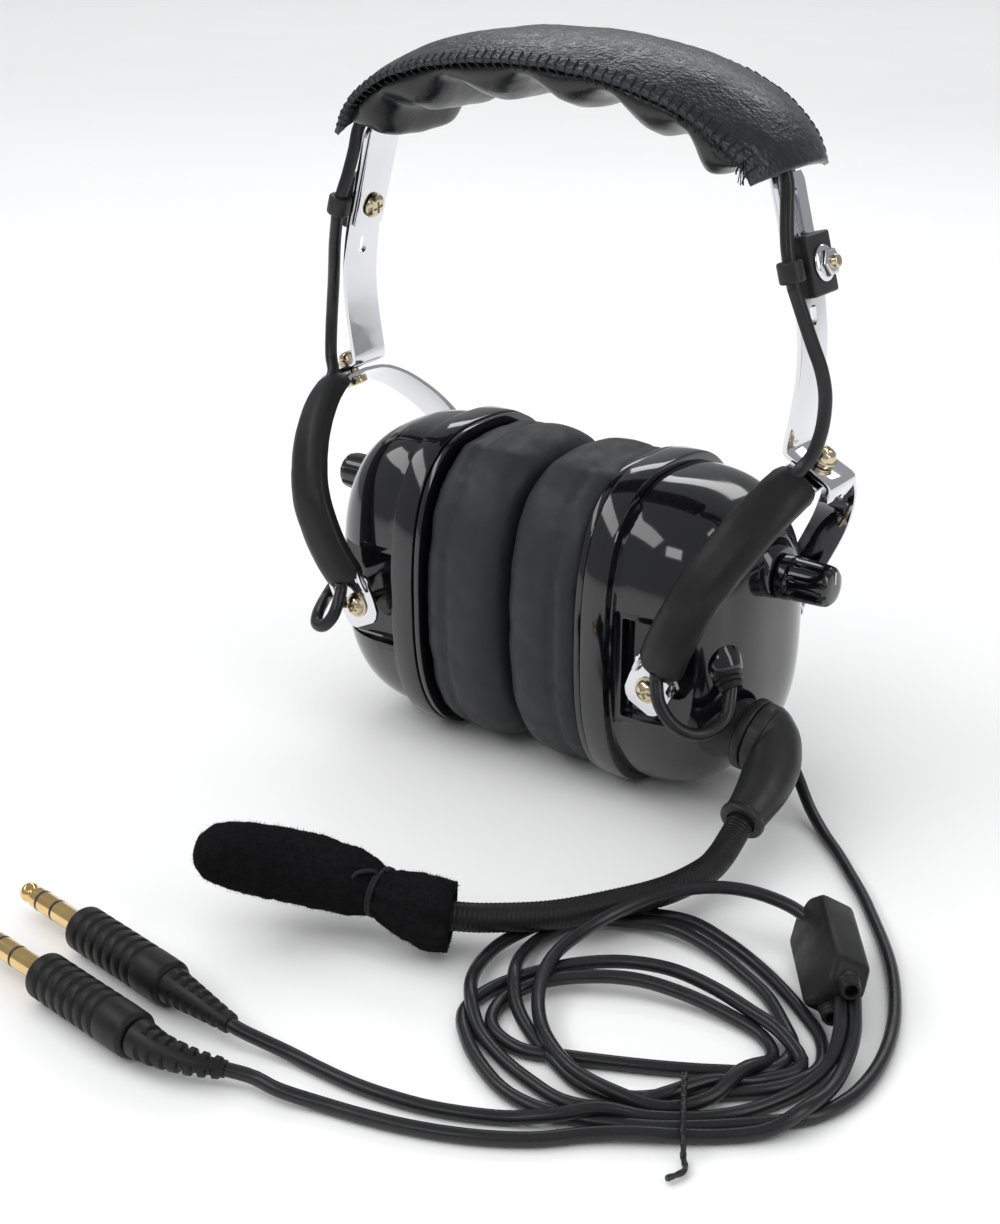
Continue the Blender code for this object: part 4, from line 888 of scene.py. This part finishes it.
BOOM = Vector((82.0, -15.4, 29.9))
BOOM_OUT = Vector((math.cos(math.radians(10)), 0, -math.sin(math.radians(10))))
BOOM_UP = Vector((math.sin(math.radians(10)), 0, math.cos(math.radians(10))))
ELBOW = [((92.4, -18.6, 27.0), (0.90, -0.38, -0.18), 10.2, 9.8),
         ((94.6, -24.2, 24.4), (0.55, -0.78, -0.30), 8.9, 8.6),
         ((95.6, -30.6, 21.0), (0.20, -0.88, -0.42), 8.0, 7.8),
         ((95.6, -37.0, 17.6), (0.05, -0.90, -0.44), 7.0, 7.0),
         ((95.4, -42.4, 15.0), (0.05, -0.92, -0.40), 6.3, 6.3)]
KNURLED = (2.8, 6.1)
GOOSENECK = numbers("95.1 -36.4 17.6, 95.4 -42.4 15, 96.2 -50 12, 97.2 -58 10, 97.4 -67 9.2, 94.2 -82 9, "
                    "87 -96.5 9, 76 -113.5 9.2, 63.5 -129 11.2, 54.8 -137 12.8")


def boom():
    turned("mount", numbers("2.4 2.2, 11.5 2.2, 11.8 1.6, 11.8 -0.6, 11 -1.4, 9.4 -1.8, 10.8 -6, 13 -12, "
                            "2.4 -12"), BOOM, BOOM_OUT, SATIN, "left", 64, 0.4, body="left_cup",
           stands_for="boom_mount")
    turned("pin", [(0, 6.8), (2.2, 6.8), (2.2, -3), (0, -3)], BOOM, BOOM_OUT, STEEL, "left", 32, 0.2,
           body="left_cup", stands_for="boom_pivot_pin")
    points, spans = 64, 26
    rim = numbers("2.5 10.9, 2.8 11.5, 6.1 11.5, 6.6 11, 7 10.7, 7.4 11.1, 8 10.8, 9 10.3")
    rings = []
    for lift, wide in rim:
        reach = (lambda turn: wide - 0.32 * (math.cos(32 * turn) > 0)) if lift in KNURLED else wide
        rings.append(ring(BOOM + BOOM_OUT * lift, Vector((0, 1, 0)), BOOM_UP, reach, points, 0.5))
    tail = [rings.pop()]
    for at, ahead, half_across, half_up in ELBOW:
        ahead = Vector(ahead).normalized()
        lead = Vector((0.25, 0, 1)) + BOOM_UP * 0.2
        up = (lead - ahead * ahead.dot(lead)).normalized()
        tail.append(ring(Vector(at), ahead.cross(up) * -half_across, up * half_up, 1.0, points, 0.5))
    tracks = [route([section[k] for section in tail], 1.0) for k in range(points)]
    for i in range(spans + 1):
        rings.append([track[round(i * (len(track) - 1) / spans)] for track in tracks])
    shell = loft("elbow", rings, SATIN, body="boom", stands_for="boom_elbow")
    shade(shell.data, 38)
    end = Vector(ELBOW[-1][0])
    way = Vector(ELBOW[-1][1]).normalized()
    turned("collar", numbers("4.4 1.4, 6.3 1.4, 7 0.8, 7.2 -0.4, 6.9 -1.4, 6.5 -1.8, 6.6 -3.6, 4.4 -3.6"),
           end, way, SATIN, "left", 56, 0.4, body="boom")
    tube("neck", GOOSENECK, 4.2, RUBBER, sides=28, gap=0.3, body="boom", stands_for="gooseneck",
         shape=lambda run, turn: 4.16 + 0.09 * math.sin(2 * math.pi * run / 1.35 + turn))


MUFF = [((57.2, -135.4, 12.6), 9.4), ((53.0, -137.6, 13.0), 10.2), ((46.0, -139.2, 13.8), 9.6),
        ((38.6, -140.2, 14.8), 7.4), ((35.8, -140.6, 15.2), 6.6), ((33.0, -141.2, 15.6), 7.4),
        ((27.0, -143.0, 16.6), 9.6), ((16.0, -148.0, 18.8), 10.3), ((7.0, -154.6, 21.6), 10.3),
        ((0.6, -162.6, 25.0), 9.6), ((-2.6, -168.6, 27.6), 7.6), ((-4.0, -171.2, 28.9), 4.4),
        ((-4.4, -171.9, 29.2), 0.6)]


def muff():
    """The fleece sock, gathered under its tie, with a skirt, short fibres and the cord tied round it."""
    line = [Vector(at) for at, _ in MUFF]
    dense = route(line, 0.9)
    run = np.r_[0, np.cumsum([(b - a).length for a, b in zip(line, line[1:])])]
    radii = [r for _, r in MUFF]
    far = np.r_[0, np.cumsum([(b - a).length for a, b in zip(dense, dense[1:])])]
    far *= run[-1] / far[-1]
    rings = []
    up = Vector((0, 0, 1))
    sides = 72
    tie = run[4]
    for at, way, s in zip(dense, headings(dense), far):
        up = (up - way * up.dot(way)).normalized()
        aside = way.cross(up)
        wide = float(np.interp(s, run, radii))
        near = math.exp(-abs(s - tie) / 7.0)
        skirt = max(0.0, 1 - s / 10.0)

        def lumpy(turn):
            fold = 0.8 * near * math.sin(11 * turn + 0.6 * math.sin(3 * turn)) * min(1, abs(s - tie) / 2.5)
            fold += 0.9 * skirt * math.sin(7 * turn + 1)
            skin = at + (up * math.cos(turn) + aside * math.sin(turn)) * wide
            lump = sum(high * noise.noise(skin * fine) for high,
                       fine in ((0.55, 0.16), (0.35, 0.55), (0.22, 1.7)))
            return wide + fold + lump

        rings.append(ring(at, up, aside, lumpy, sides))
    way = (dense[1] - dense[0]).normalized()
    u = (Vector((0, 0, 1)) - way * way.z).normalized()
    for at, wide in (((57.4, -135.2, 12.6), 8.0), ((50.0, -138.4, 13.3), 7.0)):
        rings.insert(0, ring(Vector(at), u, way.cross(u), wide, sides))
    soft = loft("muff", rings, FLEECE, smooth=180, body="boom", stands_for=("mic_muff", "mic_capsule"))
    picker = random.Random(11)
    verts, faces = [], []
    for polygon in soft.data.polygons:
        if polygon.index % 2 and polygon.area > 1e-8:
            root = polygon.center
            lie = Vector((picker.uniform(-1, 1), picker.uniform(-1, 1), picker.uniform(-1, 1)))
            tip = root + (polygon.normal * 1.0 + lie * 0.6).normalized() * picker.uniform(0.5, 1.15) * MM
            aside = polygon.normal.cross(lie).normalized() * 0.11 * MM
            third = polygon.normal.cross(aside) - polygon.normal * 0.1 * MM
            base = len(verts)
            verts += [root - aside, root + aside, root + third, tip]
            faces += [tuple(base + k for k in corners)
                      for corners in ((0, 2, 1), (0, 1, 3), (1, 2, 3), (2, 0, 3))]
    pile = bpy.data.meshes.new("muff_pile")
    pile.from_pydata([tuple(v) for v in verts], [], faces)
    pile.materials.append(FLEECE)
    fuzz = bpy.data.objects.new("muff_pile", pile)
    SCENE.collection.objects.link(fuzz)
    dress(fuzz, "boom")
    way = (line[5] - line[3]).normalized()
    u = (Vector((0, 0, 1)) - way * way.z).normalized()
    turns = ring(line[4], u, way.cross(u), 7.0, 24) * 2
    coil = [at + way * (-0.9 + 1.8 * k / 47) for k, at in enumerate(turns)]
    ends = [coil[-1] + Vector(move) for move in ((-1.0, -1.5, 1.2), (-3.5, -4.5, 1.0), (-5.0, -7.0, -2.0))]
    tube("muff_cord", coil + ends, 0.62, THREAD, sides=10, gap=0.7, body="boom", stands_for="muff_tie",
         shape=lambda run, turn: 0.6 + 0.07 * math.sin(2 * math.pi * run / 1.4 + 2 * turn))


# ---------------------------------------------------------------- cords, split and plugs

MAIN_CORD = numbers("81 8.4 17.2, 89.6 3.1 9.6, 98.6 -4.7 4.4, 108.2 -13 2, 117.7 -21.8 1.9, "
                    "126.8 -31.1 1.9, 135.8 -40.5 1.9, 144.2 -50.4 1.9, 152.4 -60.4 1.9, 160.1 -70.9 1.9, "
                    "166.7 -82.1 1.9, 172.3 -93.8 1.9, 176.5 -106.1 1.9, 178.9 -118.8 1.9, "
                    "178.8 -131.7 1.9, 174.7 -143.9 1.9, 165.9 -153.5 1.9, 156.3 -162.2 1.9, "
                    "146 -170.1 1.9, 134.5 -176.1 1.9, 122.3 -180.3 1.9, 109.5 -180.1 1.9, 97.6 -174.9 1.9, "
                    "87 -167.4 1.9, 78.7 -157.7 1.9, 78.2 -144.9 2, 83.6 -133.3 3, 92.6 -124.3 4.9, "
                    "103.5 -117.4 6.1, 116 -113.8 6.5, 128.9 -113.7 5.7, 141.6 -116.2 4.9, 153.8 -120.6 5, "
                    "163.4 -127.6 2.6, 157 -138.4 1.9, 148.7 -148 3.9, 143 -159.3 4.1, 134.9 -169 1.9, "
                    "123.4 -174.6 1.9, 110.6 -172.7 1.9, 98.3 -168.5 1.9, 86.9 -162.4 2.7, 77.7 -153.7 5.2, "
                    "71.1 -142.7 4.1, 68.3 -130.1 4, 69.5 -117.2 3.8, 73.8 -105 3.9, 81.3 -94.5 4, "
                    "91.9 -87.3 2.7, 104.5 -85.1 3.5, 117.2 -87.1 2.6, 129.4 -91.5 2, 140.8 -97.7 1.9, "
                    "151.5 -105 1.9, 161.4 -113.4 1.9, 166.8 -124.9 1.9, 163.1 -136.9 1.9, "
                    "154.5 -146.7 1.9, 144.4 -154.8 1.9, 135 -163.7 1.9, 123.1 -166.6 1.9, 111 -162.1 1.9, "
                    "99.8 -156.1 1.9, 89.3 -148.7 3.3, 81.4 -138.8 5.4, 76.3 -127 4, 75 -114.2 3, "
                    "79.6 -102.2 3.4, 89.7 -94.4 2.8, 102.2 -91.7 3.8, 115.1 -93 2.9, 127.3 -97.3 2.1, "
                    "138.9 -103.1 1.9, 148.7 -111.5 1.9, 157.3 -121.2 1.9, 157.2 -133 1.9, "
                    "146.9 -140.9 1.9, 135.7 -147.5 1.9, 124.2 -153.3 1.9, 112.3 -158.7 1.9, "
                    "101.1 -163.1 1.9, 89.1 -159.2 1.9, 83.9 -147.8 2, 88.5 -136.2 3.5, 98.2 -127.8 4.7, "
                    "109.7 -121.7 5, 122.2 -118.7 4, 135.1 -118.3 2.8, 147.8 -120.6 1.9, 155.5 -128.8 2.4, "
                    "154 -140.9 5.5, 152.1 -153.3 3.5, 144.5 -163.2 2.9, 133.1 -167.7 5.2, "
                    "120.3 -166.5 5.4, 108.8 -160.5 5.3, 99.1 -151.9 5, 91.6 -141.4 6, 87.3 -129.4 7.6, "
                    "87.8 -116.6 9.2, 91.4 -104.3 11.3, 97.7 -93.2 13.4, 106.7 -84.1 15, 117.9 -77.7 14.9, "
                    "130.3 -74.8 12.8, 141.6 -79.4 12")
LEAD_A = numbers("162.2 -105.6 10.5, 167.1 -114.7 8, 169.6 -124.7 5, 168.1 -135.2 2.9, 164 -145.2 1.9, "
                 "158.6 -154.6 1.9, 151 -162.2 1.9, 142.3 -168.6 2.5, 133.8 -174.9 4.9, 126 -182.2 3.9, "
                 "116.8 -187.6 2, 107.2 -192.7 1.9, 97.1 -196.6 1.9, 86.5 -199 1.9, 75.8 -200.3 1.9, "
                 "64.9 -200.4 1.9, 54.1 -200.6 2.5, 41 -203.6 5.4, 33 -203.4 6.6, 16 -200.9 6.7")
LEAD_B = numbers("164.9 -102.9 10.5, 169.9 -112.2 7.5, 173.2 -122.7 5.3, 174.8 -133.7 4.4, "
                 "174.1 -144.9 5.1, 169.7 -154.8 2.7, 161.8 -162.6 1.9, 153 -169.6 2.3, 143.7 -175.9 2.7, "
                 "134.7 -182.6 2.2, 126.6 -190.5 1.9, 117.4 -196.9 1.9, 107.4 -202 1.9, 96.9 -206 1.9, "
                 "86 -209 1.9, 75 -211.4 2, 64.3 -214.5 3.1, 56 -214.6 3.4, 49.7 -217.4 4.6, 44 -220.2 5.5, "
                 "34 -223.2 6.5, 24 -223 6.7")
SPLIT_AT = Vector((149.6, -88.4, 10.9))
SPLIT_TURN = Matrix.Rotation(math.radians(-54), 3, "Z") @ Matrix.Rotation(math.radians(-28), 3, "X")


def cord(name, points, ends):
    data = bpy.data.curves.new(name, "CURVE")
    data.dimensions = "3D"
    data.bevel_depth = CORD_RADIUS * MM
    data.bevel_resolution = 5
    data.use_fill_caps = True
    line = route(points, 2.5)
    spline = data.splines.new("POLY")
    spline.points.add(len(line) - 1)
    for point, at in zip(spline.points, line):
        point.co = (*put(at), 1)
    spline.use_smooth = True
    data.materials.append(CORD)
    obj = bpy.data.objects.new(name, data)
    SCENE.collection.objects.link(obj)
    dress(obj, "left_cup", ends)
    return obj, sum((b - a).length for a, b in zip(line, line[1:])) * MM


def split():
    shape = numbers("-21 -3.8, -15.6 -9, 15.6 -9, 21 -3.8, 21 3.8, 15.6 9, -15.6 9, -21 3.8")
    corner = [(p.x, p.y) for p in rounded(shape, 1.1, closed=True)]
    rings = []
    for y, inset in ((-5.5, 1.7), (-5.35, 1.0), (-5.0, 0.5), (-4.4, 0.12), (-3.4, 0.0), (3.4, 0.0),
                     (4.4, 0.12), (5.0, 0.5), (5.35, 1.0), (5.5, 1.7)):
        rings.append([SPLIT_AT + SPLIT_TURN @ Vector((x * (1 - inset / 21), y, z * (1 - inset / 9))) for x,
                      z in corner])
    box = loft("split_box", rings, RUBBER, body="left_cup", stands_for="y_box", smooth=40)
    ways = [((-19.6, 0, 0), (-1, 0, 0)), ((19.6, 0, 4.2), (1, 0, 0.1)), ((19.6, 0, -4.2), (1, 0, -0.1))]
    for k, (at, ahead) in enumerate(ways):
        turned(f"split_neck_{k}", numbers("1.7 4.6, 2.5 4.6, 2.9 3.6, 2.6 3, 3.1 2.2, 2.8 1.6, 3.3 0.8, "
                                          "3.4 -2, 1.7 -2"), SPLIT_AT + SPLIT_TURN @ Vector(at),
               SPLIT_TURN @ Vector(ahead), RUBBER, "left", 28, 0.25, body="left_cup")
    return box


def plug(key, shoulder, tail, bend):
    """Gold pin with its two insulating rings, ringed handle, and a slotted relief that follows the cord."""
    at = Vector(shoulder)
    ahead = (Vector(tail) - at).normalized()
    pin = turned(f"pin_{key}", numbers("0 8, 2.4 8, 2.4 -0.5, 4.7 -0.5, 4.7 -1.7, 3.17 -1.8, 3.17 -23.4, "
                                       "2.1 -25.1, 2.1 -25.7, 3 -27.2, 2.8 -28.4, 1.7 -29.7, 0 -30.4"), at,
                 ahead, GOLD, "left", 48, 0.35, body="left_cup", stands_for=f"plug_{key}_pin")
    for k, (low, high) in enumerate(((-13.3, -12.2), (-20.7, -19.6))):
        turned(f"pin_{key}_ring_{k}", [(2.6, high), (3.2, high), (3.2, low), (2.6, low)], at, ahead, SATIN,
               "left", 48, 0.1, body="left_cup")
    profile = [(0, 8.4), (2.5, 8.4), (2.5, -0.2), (6.0, -0.3), (6.6, 0.6)]
    for k in range(7):
        z = 4.0 + 4.1 * k
        profile += [(6.6, z), (5.9, z + 0.7), (5.9, z + 1.2), (6.6, z + 1.9)]
    profile += [(6.6, 34.0), (6.5, 40.4), (5.7, 41.6), (0, 41.8)]
    handle = turned(f"handle_{key}", profile[::-1], at, ahead, RUBBER, "left", 56, 0.3, body="left_cup",
                    stands_for=f"plug_{key}_handle")
    line = route(bend, 0.8)
    length = sum((b - a).length for a, b in zip(line, line[1:]))

    def ribs(run, turn):
        wide = 5.3 - 2.6 * run / length
        slot = 0.9 if (run % 3.6) < 1.5 and run > 1.5 and math.cos(2 * turn) > -0.75 else 0.0
        return max(2.3, wide - slot)

    relief = tube(f"relief_{key}", bend, 4, RUBBER, sides=40, gap=0.5, shape=ribs, body="left_cup")
    return [pin, handle, relief]


def cords():
    box = split()
    main, length = cord("main_cord", MAIN_CORD, ("downlead", "cord_coil", "coil_tail"))
    turned("cord_boot", numbers("1.8 12, 2.6 12, 3.1 10, 2.8 9.2, 3.5 7.6, 3.2 6.8, 3.9 5.2, 3.6 4.4, "
                                "4.6 2, 5.6 0.4, 6 -4, 1.8 -4"), (73.5, 9.6, 23.6), (0.80, -0.13, -0.62),
           RUBBER, "left", 40, 0.35, body="left_cup")
    bends = {
        "a": [(12.6, -200.4, 6.7), (22.0, -201.8, 6.7), (30.0, -203.0, 6.65), (38.0, -203.6, 5.9)],
        "b": [(24.4, -223.1, 6.7), (32.0, -223.6, 6.6), (41.0, -221.6, 5.8), (49.4, -217.6, 4.7)],
    }
    ends = {"a": ((-27.7, -194.5, 6.7), (13.2, -200.5, 6.7)),
            "b": ((-17.8, -217.5, 6.7), (25.4, -223.2, 6.7))}
    for key, points in (("a", LEAD_A), ("b", LEAD_B)):
        pieces = plug(key, *ends[key], bends[key])
        lead, length = cord(f"cord_{key}", points, f"lead_{key}")
    tie = numbers("143 -151 1.3, 143.4 -151.8 4, 145.4 -154.8 8, 149.6 -162 7.4, 154.2 -169.6 6.2, "
                  "157.2 -174 3.6, 157.8 -175 1.3, 160.6 -179 1.3, 158.8 -184 1.3")
    tube("tie", tie, 0.8, CORD, sides=10, gap=0.8, body="left_cup", stands_for="coil_tie",
         shape=lambda run, turn: 0.75 + 0.12 * math.sin(2 * math.pi * run / 3.0 + 2 * turn))


# ---------------------------------------------------------------- assembly

for side in SIDES:
    cup(side)
    cup_hardware(side)
    knob(side)
    yoke(side)
    sleeve(side)
    hanger(side)
    clamp(side)
seals()
spring()
pad()
looms()
boom()
muff()
cords()
for side in SIDES:
    for node, paint in ((f"{side}_driver", SATIN), (f"{side}_volume_pot", STEEL)):
        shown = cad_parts[node]
        shown.data.materials.clear()
        shown.data.materials.append(paint)

floor = bpy.data.meshes.new("table")
floor_half, floor_z = 3, -0.0003
corners = [(x * floor_half, y * floor_half, floor_z) for x, y in ((-1, -1), (1, -1), (1, 1), (-1, 1))]
floor.from_pydata(corners, [], [(0, 1, 2, 3)])
floor.materials.append(TABLE)
table = bpy.data.objects.new("table", floor)
SCENE.collection.objects.link(table)
